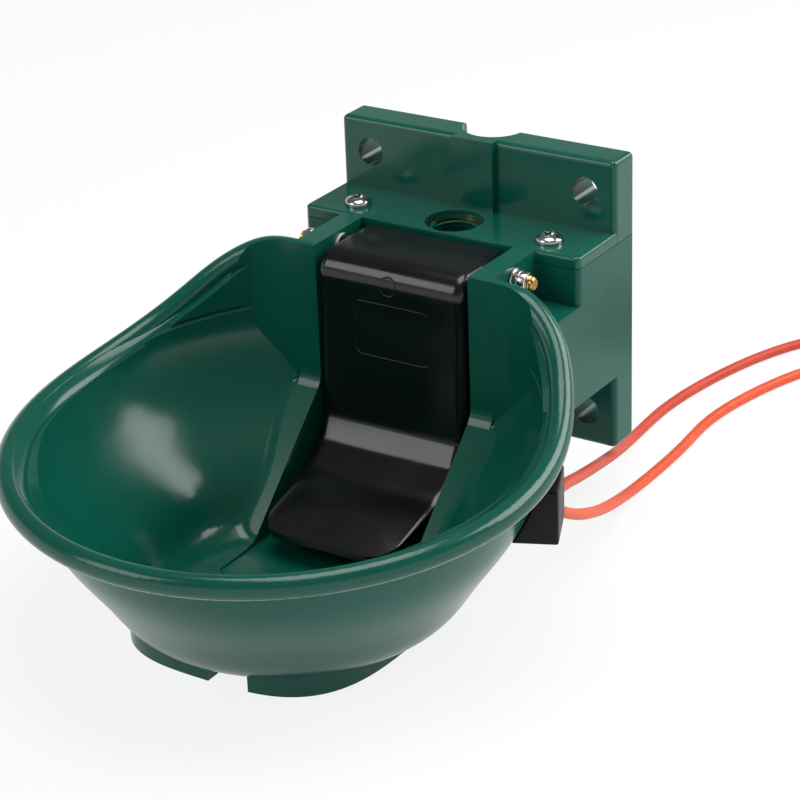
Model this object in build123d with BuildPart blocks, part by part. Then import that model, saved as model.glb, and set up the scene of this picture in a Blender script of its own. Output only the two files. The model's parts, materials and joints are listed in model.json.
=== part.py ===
from build123d import *
import math
import os

# Livestock drinking bowl with a press tongue, a spring valve and a heated double wall.
# Origin: centre of the four wall holes, on the wall plane. +X right, -Y towards the animal, +Z up.
# All lengths are millimetres.

os.makedirs("parts", exist_ok=True)

# Wall plate
plate_width = 140.0
plate_thickness = 17.5
plate_top = 67.5
plate_bottom = -68.0
plate_edge_round = 2.5
wall_hole_pitch_x = 110.0
wall_hole_pitch_z = 104.0
wall_hole_diameter = 13.0
pipe_groove_radius = 14.5
groove_band_width = 21.0
groove_band_height = 3.0

# Deck and neck
deck_top = 35.0
deck_thickness = 5.0
deck_edge_round = 1.5
ear_front_y = -50.0
neck_width = 98.0
neck_floor = 12.8
recess_width = 77.0
recess_back_y = -51.0
recess_floor = 16.0
housing_side_bottom = -33.0
housing_wall = 4.0
pocket_floor_wall = 3.0
open_half_width = 45.0
boss_diameter = 14.0
boss_bottom = 2.0
valve_slot_half = 20.5
valve_slot_bottom = -28.5
block_gap = 0.3

# Bowl
bowl_centre_y = -171.0
bead_circle_radius = 113.0
bead_diameter = 10.0
bead_back_y = -86.5
bead_corner_radius = 45.0
rim_front_z = -21.0
rim_even_rise = 12.0
rim_neck_rise = 39.0
rim_neck_power = 6.7
insert_wall = 2.8
cavity_back_y = -88.5
cavity_corner_radius = 40.0
skirt_back_y = -83.5
shell_wall = 2.6
seam_drop = 8.5
seam_gap = 0.4
skirt_inset = 1.2
channel_width = 77.0
channel_wall = 2.5
channel_gap = 0.6
well_back_y = -74.0
well_bottom = -72.0

# Sections through the bowl's axis: radius, height, and how far the outward normal dips, in degrees
shell_section = ((111.8, -2.0, 0.0), (105.5, -27.5, 20.0), (99.5, -42.0, 27.0), (81.0, -70.0, 45.0), (48.0, -91.0, 90.0))
cavity_section = ((105.4, -4.0, 0.0), (102.5, -17.0, 20.0), (94.0, -33.0, 36.0), (64.0, -67.0, 50.0), (30.0, -85.0, 90.0))
slope_top_z = -29.0
slope_angle = 44.0
slope_blend = 10.0
flare_radius = 108.0
flare_tilt = 7.0
flare_height = 14.0

# Feet: an oval skirt under the shell, split by a slot
foot_bottom = -94.0
foot_centre_y = -169.0
foot_half_width = 58.5
foot_half_length = 66.0
foot_squareness = 3.2
foot_points = 32
foot_wall = 7.0
foot_slot_width = 19.0
foot_slot_x = 11.5
foot_height = 20.0

# Tongue and its hinge
pin_y = -68.0
pin_z = 28.0
pin_diameter = 7.0
pin_clearance = 0.05
pin_end_x = 59.0
tongue_width = 74.0
tongue_wall = 3.5
tongue_edge_round = 5.0
tongue_top = 33.4
tongue_rear_y = -53.5
roll_corner_y = -93.0
roll_radius = 11.0
panel_top_y = -89.8
panel_top_z = 10.0
panel_bottom_y = -91.6
panel_bottom_z = -42.0
crease_y = -97.5
crease_z = -52.0
scoop_y = -110.0
scoop_z = -61.0
lip_y = -150.0
lip_z = -72.5
lip_width = 64.0
lip_corner_radius = 14.0
flange_depth = 9.0
flange_wall = 2.8
flange_bottom = -30.0
hub_radius = 5.2

# Valve
port_y = -36.0
valve_tube_diameter = 25.0
port_thread_diameter = 20.955
port_thread_depth = 14.0
port_mouth_diameter = 26.0
port_recess = 3.0
water_bore = 15.0
branch_z = -8.0
branch_diameter = 20.0
branch_bore = 15.0
branch_front_y = -77.0
branch_flange_diameter = 28.0
branch_flange_thickness = 3.0
flange_back_y = -57.5
branch_clearance = 0.2
pad_front_y = -67.0
pad_thickness = 5.0
pad_width = 38.0
nut_room = 35.0
valve_bottom = -46.0
spring_seat_y = -55.0
seat_flange = 2.0
seat_length = 4.0
seat_bore = 7.4
stem_diameter = 5.0
stem_rest_gap = 0.3
head_diameter = 11.0
head_length = 3.0
seal_thickness = 2.5
seal_diameter = 12.6
spring_outer_diameter = 11.0
spring_wire = 1.1
spring_turns = 6
branch_nut_size = 27.0
branch_nut_length = 5.0
drain_washer_thickness = 1.5
drain_plug_size = 19.0
drain_plug_height = 5.0
drain_plug_reach = 8.0

# Fasteners
screw_pitch_x = 98.0
screw_y = -37.8
screw_head_diameter = 12.0
screw_head_height = 3.6
screw_shank_diameter = 6.0
screw_length = 26.0
insert_sleeve_diameter = 9.0
insert_sleeve_length = 14.0
collar_diameter = 9.6
collar_flange_diameter = 11.0
collar_length = 7.2
collar_flange_length = 1.2
spacer_gap = 0.2
screw_cross_length = 6.4
screw_cross_width = 1.4
screw_cross_depth = 1.6

# Heating and cables
heater_wire = 4.0
heater_turns = 3
heater_low_z = -76.0
heater_pitch = 7.0
heater_inset = 6.9
heater_start_angle = -215.0
heater_arc = 250.0
cable_diameter = 5.0
feed_reach = 109.5
feed_exit_z = -40.0
trace_reach = 107.0
trace_exit_z = -47.0
coil_diameter = 55.0
coil_bundle = 17.5
coil_tie_arc = 10.0
coil_tie_flat = 0.4
coil_tie_wall = 0.8
coil_tie_gap = 0.1
coil_tie_angles = (60.0, 240.0)
feed_coil_centre = (128.0, 232.0)
trace_coil_centre = (150.0, 158.0)
tail_length = 42.0
core_diameter = 2.2
core_spacing = 2.6
core_length = 12.0
ferrule_diameter = 2.4
ferrule_length = 8.0
cap_diameter = 7.0
cap_length = 20.0
gland_angle = 24.0
gland_width = 26.0
gland_top = -27.0
gland_bottom = -51.0
gland_reach = 113.0
gland_inner_reach = 88.0
gland_gap = 0.1
floor_z = foot_bottom
cap_line = floor_z + cap_diameter / 2

front_y = bowl_centre_y - bead_circle_radius
bowl_axis = Axis((0, bowl_centre_y, 0), (0, 0, 1))
bowl_section_plane = Plane.XZ.offset(-bowl_centre_y)
cut_height = 120.0


def rim_height(y):
    """Height of the bead's centre line, which depends only on the distance from the wall."""
    t = (y - front_y) / (bead_back_y - front_y)
    t = min(max(t, 0.0), 1.15)
    return rim_front_z + rim_even_rise * t + rim_neck_rise * t**rim_neck_power


def inset_section(section, inset):
    """A bowl section moved inwards, along its normals, by the inset."""
    moved = []
    for radius, height, dip in section:
        angle = math.radians(dip)
        moved.append((radius - inset * math.cos(angle), height + inset * math.sin(angle)))
    return moved


def bowl_body(section, inset, top):
    """A solid bowl of revolution under the given section."""
    points = inset_section(section, inset)
    with BuildPart() as body:
        with BuildSketch(bowl_section_plane):
            with BuildLine():
                Polyline((0, top), (points[0][0], top), points[0])
                Spline(*points, tangents=((0, -1), (-1, 0)))
                Polyline(points[-1], (0, points[-1][1]), (0, top))
            make_face()
        revolve(axis=bowl_axis)
    return body.part


def below_rim(drop):
    """Everything below the rim's height curve, lowered by drop."""
    ys = [front_y - 20, front_y, -240, -200, -165, -140, -120, -105, -95, -88, bead_back_y]
    with BuildPart() as body:
        with BuildSketch(Plane.YZ):
            with BuildLine():
                curve = Spline(*[(y, rim_height(y) - drop) for y in ys])
                end = curve @ 1
                Polyline(end, (20, end.Y), (20, -cut_height), (front_y - 20, -cut_height), curve @ 0)
            make_face()
        extrude(amount=cut_height * 1.2, both=True)
    return body.part


def stack(x_half, limits):
    """Boxes of one half width, each from (y_min, y_max, z_min, z_max), joined into one body."""
    with BuildPart() as body:
        for y_min, y_max, z_min, z_max in limits:
            with Locations((0, (y_min + y_max) / 2, (z_min + z_max) / 2)):
                Box(2 * x_half, y_max - y_min, z_max - z_min)
    return body.part


def bowl_plan(radius, back_y, corner):
    """An upright prism over the bowl's plan: a circle cut off at the back, with round corners."""
    with BuildPart() as body:
        with BuildSketch(Plane.XY.offset(-cut_height)) as plan:
            with Locations((0, bowl_centre_y)):
                Circle(radius)
            with Locations((0, back_y)):
                Rectangle(2 * radius, 3 * radius, align=(Align.CENTER, Align.MAX), mode=Mode.INTERSECT)
            fillet(plan.vertices().sort_by(Axis.Y)[-2:], corner)
        extrude(amount=2 * cut_height)
    return body.part


def bead_plan_point(s):
    """A point of the bead's right half in plan, from the front (s = 0) to the neck (s = 1)."""
    corner_y = bead_back_y - bead_corner_radius
    reach = bead_circle_radius - bead_corner_radius
    corner_x = math.sqrt(reach**2 - (corner_y - bowl_centre_y) ** 2)
    join = math.atan2(corner_x, bowl_centre_y - corner_y)
    circle_length = bead_circle_radius * join
    corner_length = bead_corner_radius * (math.pi - join)
    line_length = corner_x - recess_width / 2
    run = s * (circle_length + corner_length + line_length)
    if run <= circle_length:
        angle = run / bead_circle_radius
        return bead_circle_radius * math.sin(angle), bowl_centre_y - bead_circle_radius * math.cos(angle)
    if run <= circle_length + corner_length:
        angle = join + (run - circle_length) / bead_corner_radius
        return corner_x + bead_corner_radius * math.sin(angle), corner_y - bead_corner_radius * math.cos(angle)
    return corner_x - (run - circle_length - corner_length), bead_back_y


def bead_points(count):
    """The bead's centre line from its right end round the front to its left end."""
    half = []
    for i in range(count + 1):
        x, y = bead_plan_point(i / count)
        half.append((x, y, rim_height(y)))
    return half[:0:-1] + [(-x, y, z) for x, y, z in half]


def wall_plate(z_min, z_max, round_side):
    """Half of the wall plate: rounded outer edges, the pipe groove behind and two wall holes."""
    with BuildPart() as body:
        with Locations((0, -plate_thickness / 2, (z_min + z_max) / 2)):
            Box(plate_width, plate_thickness, z_max - z_min)
        outer_edges = body.edges().group_by(Axis.Z)[round_side]
        fillet(outer_edges + body.edges().filter_by(Axis.Z), plate_edge_round)
        with Locations((0, -plate_thickness, (z_min + z_max) / 2)):
            Box(groove_band_width, 2 * groove_band_height, z_max - z_min)
        with Locations((0, 0, (z_min + z_max) / 2)):
            Cylinder(pipe_groove_radius, z_max - z_min, mode=Mode.SUBTRACT)
        hole_z = wall_hole_pitch_z / 2 if z_max > wall_hole_pitch_z / 2 else -wall_hole_pitch_z / 2
        with BuildSketch(Plane.XZ):
            with Locations((-wall_hole_pitch_x / 2, hole_z), (wall_hole_pitch_x / 2, hole_z)):
                Circle(wall_hole_diameter / 2)
        extrude(amount=plate_thickness, mode=Mode.SUBTRACT)
    return body.part


# Forms that the two mouldings share
channel_half = channel_width / 2
channel_inset = shell_wall + channel_gap + channel_wall
seam_z = deck_top - deck_thickness
block_bottom = neck_floor + block_gap
rim_form = below_rim(0)
seam_form = below_rim(seam_drop) & stack(cut_height, [(-300, 20, -cut_height, block_bottom)])
ledge_form = below_rim(seam_drop + seam_gap) & stack(cut_height, [(-300, 20, -cut_height, neck_floor)])
shell_outer = bowl_body(shell_section, 0, cut_height)
shell_space = bowl_body(shell_section, shell_wall, cut_height)

# Slope behind the water, on which the tongue's foot lies
slope_rise = math.tan(math.radians(slope_angle))
slope_foot_y = cavity_back_y - (slope_top_z + cut_height) / slope_rise


def slope_form(outset):
    """Everything in front of the sloping back of the cavity."""
    shift = outset / math.sin(math.radians(slope_angle))
    with BuildPart() as body:
        with BuildSketch(Plane.YZ):
            with BuildLine():
                Polyline(
                    (cavity_back_y + 20 + shift, slope_top_z + 20 * slope_rise),
                    (slope_foot_y + shift, -cut_height),
                    (-320, -cut_height),
                    (-320, cut_height),
                    (cavity_back_y + 20 + shift, cut_height),
                    close=True,
                )
            make_face()
        extrude(amount=cut_height * 1.2, both=True)
    return body.part


def bowl_space(outset):
    """The room inside the bowl, grown by outset: a round bowl with a flared rim and a sloping back."""
    with BuildPart() as body:
        add(bowl_body(cavity_section, -outset, cut_height))
        flare_z = rim_front_z + 1 + flare_radius * math.sin(math.radians(flare_tilt))
        with Locations(Location((0, bowl_centre_y, flare_z), (flare_tilt, 0, 0))):
            Cone(
                flare_radius + outset - flare_height,
                flare_radius + outset,
                flare_height,
                align=(Align.CENTER, Align.CENTER, Align.MAX),
            )
        plan_radius = flare_radius + outset
        add(bowl_plan(plan_radius, cavity_back_y + outset, cavity_corner_radius + outset), mode=Mode.INTERSECT)
        add(slope_form(outset), mode=Mode.INTERSECT)
    return body.part


# Room of the water bowl, with a soft change to the slope, and of the channel behind the tongue
with BuildPart() as cavity_form:
    add(bowl_space(0))
    slope_edges = []
    for edge in cavity_form.edges():
        middle = edge @ 0.5
        height = slope_top_z + (middle.Y - cavity_back_y) * slope_rise
        if abs(middle.Z - height) < 0.05:
            slope_edges.append(edge)
    fillet(slope_edges, slope_blend)
channel_form = bowl_body(shell_section, channel_inset, cut_height) & stack(
    channel_half, [(bowl_centre_y, -60, -cut_height, cut_height)]
)
well_form = stack(channel_half, [(bowl_centre_y + 40, well_back_y, well_bottom, recess_floor)])
channel_shell = bowl_body(shell_section, shell_wall + channel_gap, cut_height) & stack(
    channel_half + channel_wall, [(bowl_centre_y, -50, -cut_height, deck_top)]
)
well_shell = stack(
    channel_half + channel_wall,
    [(bowl_centre_y + 40, well_back_y + channel_wall, well_bottom - channel_wall, deck_top - deck_thickness)],
)

# Deck with the two ears that the screws hold down; it ends in the plate, in front of the pipe groove
deck_back_y = -(plate_thickness + pipe_groove_radius) / 2
with BuildPart() as deck_form:
    add(stack(plate_width / 2, [(ear_front_y, deck_back_y, seam_z, deck_top)]))
    fillet(deck_form.edges().filter_by(Axis.Z).group_by(Axis.Y)[0], 2 * deck_edge_round)
    fillet(deck_form.faces().sort_by(Axis.Z)[-1].edges().sort_by(Axis.Y)[:-1], deck_edge_round)

# Upper moulding: water bowl, rim, neck, deck and the upper half of the wall plate
with BuildPart() as bowl_insert:
    add(bowl_space(insert_wall))
    add(bowl_body(shell_section, shell_wall + channel_gap, cut_height), mode=Mode.INTERSECT)
    skirt_body = bowl_body(shell_section, skirt_inset, cut_height) - seam_form
    add(skirt_body & bowl_plan(shell_section[0][0] - skirt_inset, skirt_back_y, cavity_corner_radius + 5))
    add(channel_shell)
    add(well_shell)
    add(rim_form, mode=Mode.INTERSECT)
    add(stack(neck_width / 2, [(bead_back_y, ear_front_y, block_bottom, deck_top)]))
    add(deck_form.part)
    add(wall_plate(seam_z, plate_top, -1))
    bead_path = Spline(*bead_points(24), mode=Mode.PRIVATE)
    with BuildSketch(Plane(bead_path @ 0, z_dir=bead_path % 0)):
        Circle(bead_diameter / 2)
    sweep(path=bead_path)
    add(cavity_form.part, mode=Mode.SUBTRACT)
    add(channel_form, mode=Mode.SUBTRACT)
    add(well_form, mode=Mode.SUBTRACT)
    add(stack(channel_half, [(-130, recess_back_y, recess_floor, cut_height)]), mode=Mode.SUBTRACT)
    # Flat pad and hole for the valve's branch
    with Locations((0, pad_front_y + pad_thickness / 2, branch_z)):
        Box(pad_width, pad_thickness, pad_width)
    with Locations((0, pad_front_y, branch_z)):
        Box(
            nut_room,
            pad_front_y - well_back_y + 2,
            nut_room,
            align=(Align.CENTER, Align.MAX, Align.CENTER),
            mode=Mode.SUBTRACT,
        )
    with Locations(Location((0, pad_front_y + pad_thickness / 2, branch_z), (90, 0, 0))):
        Cylinder(branch_diameter / 2 + branch_clearance, 2 * pad_thickness, mode=Mode.SUBTRACT)
    # Port in the deck, hinge holes and screw holes
    with Locations((0, port_y, deck_top)):
        Cylinder(port_mouth_diameter / 2, 2 * port_recess, mode=Mode.SUBTRACT)
        Cylinder(valve_tube_diameter / 2 + block_gap, 2 * deck_thickness + 2, mode=Mode.SUBTRACT)
    with Locations(Location((0, pin_y, pin_z), (0, 90, 0))):
        Cylinder(pin_diameter / 2 + pin_clearance, neck_width + 2, mode=Mode.SUBTRACT)
    with Locations((-screw_pitch_x / 2, screw_y, deck_top), (screw_pitch_x / 2, screw_y, deck_top)):
        Cylinder(screw_shank_diameter / 2 + pin_clearance, 2 * deck_thickness + 2, mode=Mode.SUBTRACT)
bowl_insert.part.label = "bowl_insert"
export_step(bowl_insert.part, "parts/bowl_insert.step")

# Feet under the bowl: an oval wall with a slot in front
def foot_outline(inset):
    """Points round the oval of the feet, moved inwards by the inset."""
    points = []
    for i in range(foot_points):
        turn = 2 * math.pi * i / foot_points
        x_share = math.copysign(abs(math.cos(turn)) ** (2 / foot_squareness), math.cos(turn))
        y_share = math.copysign(abs(math.sin(turn)) ** (2 / foot_squareness), math.sin(turn))
        y = foot_centre_y + (foot_half_length - inset) * y_share
        points.append(((foot_half_width - inset) * x_share, y))
    return points


with BuildPart() as foot_ring:
    with BuildSketch(Plane.XY.offset(foot_bottom)):
        with BuildLine():
            Spline(*foot_outline(0), periodic=True)
        make_face()
        with BuildLine():
            Spline(*foot_outline(foot_wall), periodic=True)
        make_face(mode=Mode.SUBTRACT)
    extrude(amount=foot_height)
    with Locations((foot_slot_x, foot_centre_y - foot_half_length, foot_bottom)):
        Box(foot_slot_width, 4 * foot_wall, 4 * foot_height, mode=Mode.SUBTRACT)

# Side walls and floor of the pockets beside the neck
side_half = plate_width / 2
housing_top = seam_z - block_gap
floor_under = neck_floor - pocket_floor_wall
inner_front_y = skirt_back_y - block_gap
with BuildPart() as side_box:
    add(stack(side_half, [(ear_front_y, -plate_thickness / 2, housing_side_bottom, housing_top)]))
    fillet(side_box.edges().filter_by(Axis.Z).group_by(Axis.Y)[0], 2 * deck_edge_round)
    add(stack(side_half, [(-130, ear_front_y + 4 * deck_edge_round, housing_side_bottom, neck_floor)]))
    behind = (ear_front_y + housing_wall, 0, -cut_height, cut_height)
    before = (-140, 0, -cut_height, floor_under)
    add(stack(side_half - housing_wall, [behind, before]), mode=Mode.SUBTRACT)
    add(stack(open_half_width, [(-140, 0, -cut_height, cut_height)]), mode=Mode.SUBTRACT)
    add(stack(cut_height, [(-140, inner_front_y, floor_under, neck_floor)]), mode=Mode.SUBTRACT)

# Case round the deep part of the channel, behind the bowl
well_gap = channel_wall + channel_gap
well_back = well_back_y + well_gap
well_floor = well_bottom - well_gap
well_room = stack(channel_half + well_gap, [(bowl_centre_y + 40, well_back, well_floor, cut_height)])
well_case = stack(
    channel_half + well_gap + shell_wall,
    [(bowl_centre_y + 40, well_back + shell_wall, well_floor - shell_wall, neck_floor)],
)

# Lower moulding: outer shell of the bowl, feet, side walls and the lower half of the wall plate
with BuildPart() as outer_housing:
    add(shell_outer)
    add(well_case)
    add(foot_ring.part)
    add(shell_space, mode=Mode.SUBTRACT)
    add(well_room, mode=Mode.SUBTRACT)
    add(side_box.part - shell_space - well_room)
    floor_plate = side_box.part & stack(cut_height, [(inner_front_y, 0, floor_under, neck_floor)])
    add(floor_plate)
    add(ledge_form, mode=Mode.INTERSECT)
    add(side_box.part & stack(side_half, [(ear_front_y, 0, floor_under, housing_top)]))
    for side in (-1, 1):
        with Locations((side * screw_pitch_x / 2, screw_y, (boss_bottom + housing_top) / 2)):
            Cylinder(boss_diameter / 2, housing_top - boss_bottom)
        rib_middle = side * (screw_pitch_x / 2 + side_half) / 2
        with Locations((rib_middle, screw_y, (boss_bottom + housing_top) / 2)):
            Box(side_half - screw_pitch_x / 2 - 2, housing_wall, housing_top - boss_bottom)
        with Locations((side * screw_pitch_x / 2, screw_y, housing_top)):
            Cylinder(insert_sleeve_diameter / 2, 2 * insert_sleeve_length, mode=Mode.SUBTRACT)
            Cylinder(screw_shank_diameter / 2 + pin_clearance, 2 * screw_length - 4, mode=Mode.SUBTRACT)
    add(wall_plate(plate_bottom, housing_top, 0))
    add(stack(valve_slot_half, [(-78, ear_front_y, valve_slot_bottom, cut_height)]), mode=Mode.SUBTRACT)
outer_housing.part.label = "outer_housing"
export_step(outer_housing.part, "parts/outer_housing.step")

# Valve body: upright tube with the threaded port and a branch towards the tongue
with BuildPart() as valve_body:
    valve_top = deck_top - port_recess
    with Locations((0, port_y, (valve_top + valve_bottom) / 2)):
        Cylinder(valve_tube_diameter / 2, valve_top - valve_bottom)
    with BuildSketch(Plane.XZ.offset(-port_y)):
        with Locations((0, branch_z)):
            Circle(branch_diameter / 2)
    extrude(amount=port_y - branch_front_y)
    with BuildSketch(Plane.XZ.offset(-flange_back_y)):
        with Locations((0, branch_z)):
            Circle(branch_flange_diameter / 2)
    extrude(amount=branch_flange_thickness)
    chamfer(valve_body.faces().sort_by(Axis.Z)[0].edges(), 1)
    with Locations((0, port_y, valve_top)):
        Cylinder(port_thread_diameter / 2, 2 * port_thread_depth, mode=Mode.SUBTRACT)
    with Locations((0, port_y, valve_bottom)):
        Cylinder(water_bore / 2, 2 * (valve_top - valve_bottom) - 2, mode=Mode.SUBTRACT)
    with BuildSketch(Plane.XZ.offset(-branch_front_y)):
        with Locations((0, branch_z)):
            Circle(branch_bore / 2)
    extrude(amount=branch_front_y - spring_seat_y, mode=Mode.SUBTRACT)
    with BuildSketch(Plane.XZ.offset(-branch_front_y)):
        with Locations((0, branch_z)):
            Circle(seat_bore / 2)
    extrude(amount=branch_front_y - port_y, mode=Mode.SUBTRACT)
valve_body.part.label = "valve_body"
export_step(valve_body.part, "parts/valve_body.step")


def along_y(radius, y_front, y_back, bore=0.0, x=0.0, z=0.0):
    """A round piece along Y from y_front to y_back, with a bore where one is given."""
    with BuildPart() as body:
        with BuildSketch(Plane.XZ.offset(-y_back)):
            with Locations((x, z)):
                Circle(radius)
                if bore:
                    Circle(bore, mode=Mode.SUBTRACT)
        extrude(amount=y_back - y_front)
    return body.part


def along_x(radius, x_min, x_max, bore=0.0):
    """A round piece on the hinge line from x_min to x_max, with a bore where one is given."""
    with BuildPart() as body:
        with BuildSketch(Plane.YZ.offset(x_min)):
            with Locations((pin_y, pin_z)):
                Circle(radius)
                if bore:
                    Circle(bore, mode=Mode.SUBTRACT)
        extrude(amount=x_max - x_min)
    return body.part


# Rubber washer between the pad and the branch's flange
pad_back_y = pad_front_y + pad_thickness
with BuildPart() as branch_washer:
    washer_bore = branch_diameter / 2 + pin_clearance
    washer_back_y = flange_back_y - branch_flange_thickness
    add(along_y(branch_flange_diameter / 2 - 1, pad_back_y, washer_back_y, washer_bore, z=branch_z))
branch_washer.part.label = "branch_washer"
export_step(branch_washer.part, "parts/branch_washer.step")

# Hexagon nut that clamps the branch in the pad
with BuildPart() as branch_nut:
    with BuildSketch(Plane.XZ.offset(-pad_front_y)):
        with Locations((0, branch_z)):
            RegularPolygon(branch_nut_size / 2, 6, major_radius=False)
            Circle(branch_diameter / 2 + pin_clearance, mode=Mode.SUBTRACT)
    extrude(amount=branch_nut_length)
branch_nut.part.label = "branch_nut"
export_step(branch_nut.part, "parts/branch_nut.step")

# Valve seat, pressed into the front of the branch
with BuildPart() as valve_seat:
    seat_back_y = branch_front_y + seat_length
    add(along_y(branch_bore / 2, branch_front_y, seat_back_y, seat_bore / 2, z=branch_z))
    add(along_y(branch_diameter / 2, branch_front_y - seat_flange, branch_front_y, seat_bore / 2, z=branch_z))
valve_seat.part.label = "valve_seat"
export_step(valve_seat.part, "parts/valve_seat.step")

# Plunger that the tongue pushes: stem, head and a round tip
seal_front_y = seat_back_y + stem_rest_gap
head_front_y = seal_front_y + seal_thickness
head_back_y = head_front_y + head_length
panel_fall = (panel_bottom_y - panel_top_y) / (panel_top_z - panel_bottom_z)
panel_at_branch = panel_top_y + panel_fall * (panel_top_z - branch_z)
stem_tip_y = panel_at_branch + tongue_wall + stem_rest_gap
with BuildPart() as valve_plunger:
    add(along_y(stem_diameter / 2, stem_tip_y, head_front_y, z=branch_z))
    fillet(valve_plunger.faces().sort_by(Axis.Y)[0].edges(), 1.2)
    add(along_y(head_diameter / 2, head_front_y, head_back_y, z=branch_z))
valve_plunger.part.label = "valve_plunger"
export_step(valve_plunger.part, "parts/valve_plunger.step")

# Rubber seal on the plunger
with BuildPart() as valve_seal:
    add(along_y(seal_diameter / 2, seal_front_y, head_front_y, stem_diameter / 2, z=branch_z))
valve_seal.part.label = "valve_seal"
export_step(valve_seal.part, "parts/valve_seal.step")

# Spring behind the plunger's head
spring_radius = (spring_outer_diameter - spring_wire) / 2
spring_length = spring_seat_y - head_back_y
with BuildPart() as valve_spring:
    coil_run = spring_length - spring_wire - 0.1
    coil_line = Helix(
        pitch=coil_run / spring_turns,
        height=coil_run,
        radius=spring_radius,
        center=(0, head_back_y + spring_wire / 2 + 0.05, branch_z),
        direction=(0, 1, 0),
        mode=Mode.PRIVATE,
    )
    with BuildSketch(Plane(coil_line @ 0, z_dir=coil_line % 0)):
        Circle(spring_wire / 2)
    sweep(path=coil_line, is_frenet=True)
valve_spring.part.label = "valve_spring"
export_step(valve_spring.part, "parts/valve_spring.step")

# Hexagon plug and its washer under the valve's tube
with BuildPart() as drain_washer:
    with BuildSketch(Plane.XY.offset(valve_bottom - drain_washer_thickness)):
        with Locations((0, port_y)):
            Circle(valve_tube_diameter / 2 - 1)
            Circle(water_bore / 2, mode=Mode.SUBTRACT)
    extrude(amount=drain_washer_thickness)
drain_washer.part.label = "drain_washer"
export_step(drain_washer.part, "parts/drain_washer.step")

with BuildPart() as drain_plug:
    plug_under = valve_bottom - drain_washer_thickness
    with BuildSketch(Plane.XY.offset(plug_under - drain_plug_height)):
        with Locations((0, port_y)):
            RegularPolygon(drain_plug_size / 2, 6, major_radius=False)
    extrude(amount=drain_plug_height)
    with BuildSketch(Plane.XY.offset(plug_under)):
        with Locations((0, port_y)):
            Circle(water_bore / 2 - pin_clearance)
    extrude(amount=drain_plug_reach)
drain_plug.part.label = "drain_plug"
export_step(drain_plug.part, "parts/drain_plug.step")

# Tongue: a bent plate with side flanges and a hub on the hinge line
tongue_points = [
    (tongue_rear_y, tongue_top),
    (roll_corner_y, tongue_top),
    (panel_top_y, panel_top_z),
    (panel_bottom_y, panel_bottom_z),
    (crease_y, crease_z),
    (scoop_y, scoop_z),
    (lip_y, lip_z),
]
tongue_bends = [roll_radius, 40.0, 8.0, 12.0, 30.0]


def tongue_band(depth, x_half):
    """The tongue's side outline, thickened inwards by depth."""
    with BuildPart() as body:
        with BuildSketch(Plane.YZ):
            with BuildLine():
                FilletPolyline(*tongue_points, radius=tongue_bends)
                offset(amount=depth, side=Side.LEFT, closed=True)
            make_face()
        extrude(amount=x_half, both=True)
    return body.part


outer_line = FilletPolyline(*[(0, y, z) for y, z in tongue_points], radius=tongue_bends)
flange_half = tongue_width / 2 - flange_wall
with BuildPart() as tongue:
    add(tongue_band(flange_depth, tongue_width / 2))
    front_edges = []
    for edge in tongue.edges():
        middle = edge @ 0.5
        on_side = abs(abs(middle.X) - tongue_width / 2) < 0.01
        on_front = outer_line.distance_to(Vertex(0, middle.Y, middle.Z)) < 0.05
        if on_side and on_front and middle.Z > panel_bottom_z:
            front_edges.append(edge)
    fillet(front_edges, tongue_edge_round)
    behind_plate = tongue_band(flange_depth + 1, tongue_width) - tongue_band(tongue_wall, tongue_width)
    between_flanges = stack(flange_half, [(-200, 0, -cut_height, cut_height)])
    below_flanges = stack(tongue_width, [(-200, 0, -cut_height, flange_bottom)])
    add(behind_plate & (between_flanges + below_flanges), mode=Mode.SUBTRACT)
    with BuildSketch(Plane.XY.offset(-cut_height)) as tongue_plan:
        Polygon(
            (tongue_width / 2, tongue_rear_y + 10),
            (tongue_width / 2, crease_y),
            (lip_width / 2, lip_y),
            (-lip_width / 2, lip_y),
            (-tongue_width / 2, crease_y),
            (-tongue_width / 2, tongue_rear_y + 10),
            align=None,
        )
        fillet(tongue_plan.vertices().sort_by(Axis.Y)[:2], lip_corner_radius)
    extrude(amount=2 * cut_height, mode=Mode.INTERSECT)
    add(along_x(hub_radius, -tongue_width / 2, tongue_width / 2))
    add(along_x(pin_diameter / 2 + pin_clearance, -tongue_width, tongue_width), mode=Mode.SUBTRACT)
tongue.part.label = "tongue"
export_step(tongue.part, "parts/tongue.step")

# Hinge pin, threaded at both ends
with BuildPart() as hinge_pin:
    add(along_x(pin_diameter / 2, -pin_end_x, pin_end_x))
    chamfer(hinge_pin.edges(), 0.6)
hinge_pin.part.label = "hinge_pin"
export_step(hinge_pin.part, "parts/hinge_pin.step")


def collar_nut(side):
    """A round nut with a flange, seated against the neck on one side."""
    seat_x = side * neck_width / 2
    flange_x = seat_x + side * collar_flange_length
    end_x = seat_x + side * collar_length
    bore = pin_diameter / 2 + pin_clearance
    with BuildPart() as body:
        add(along_x(collar_diameter / 2, min(seat_x, end_x), max(seat_x, end_x), bore))
        add(along_x(collar_flange_diameter / 2, min(seat_x, flange_x), max(seat_x, flange_x), bore))
    return body.part


with BuildPart() as left_collar_nut:
    add(collar_nut(-1))
left_collar_nut.part.label = "left_collar_nut"
export_step(left_collar_nut.part, "parts/left_collar_nut.step")

with BuildPart() as right_collar_nut:
    add(collar_nut(1))
right_collar_nut.part.label = "right_collar_nut"
export_step(right_collar_nut.part, "parts/right_collar_nut.step")

# Plain washers that centre the tongue in its recess
spacer_inner = tongue_width / 2 + spacer_gap
with BuildPart() as hinge_spacers:
    spacer_bore = pin_diameter / 2 + pin_clearance
    add(along_x(hub_radius, spacer_inner, recess_width / 2, spacer_bore))
    add(along_x(hub_radius, -recess_width / 2, -spacer_inner, spacer_bore))
hinge_spacers.part.label = "hinge_spacers"
export_step(hinge_spacers.part, "parts/hinge_spacers.step")

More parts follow.
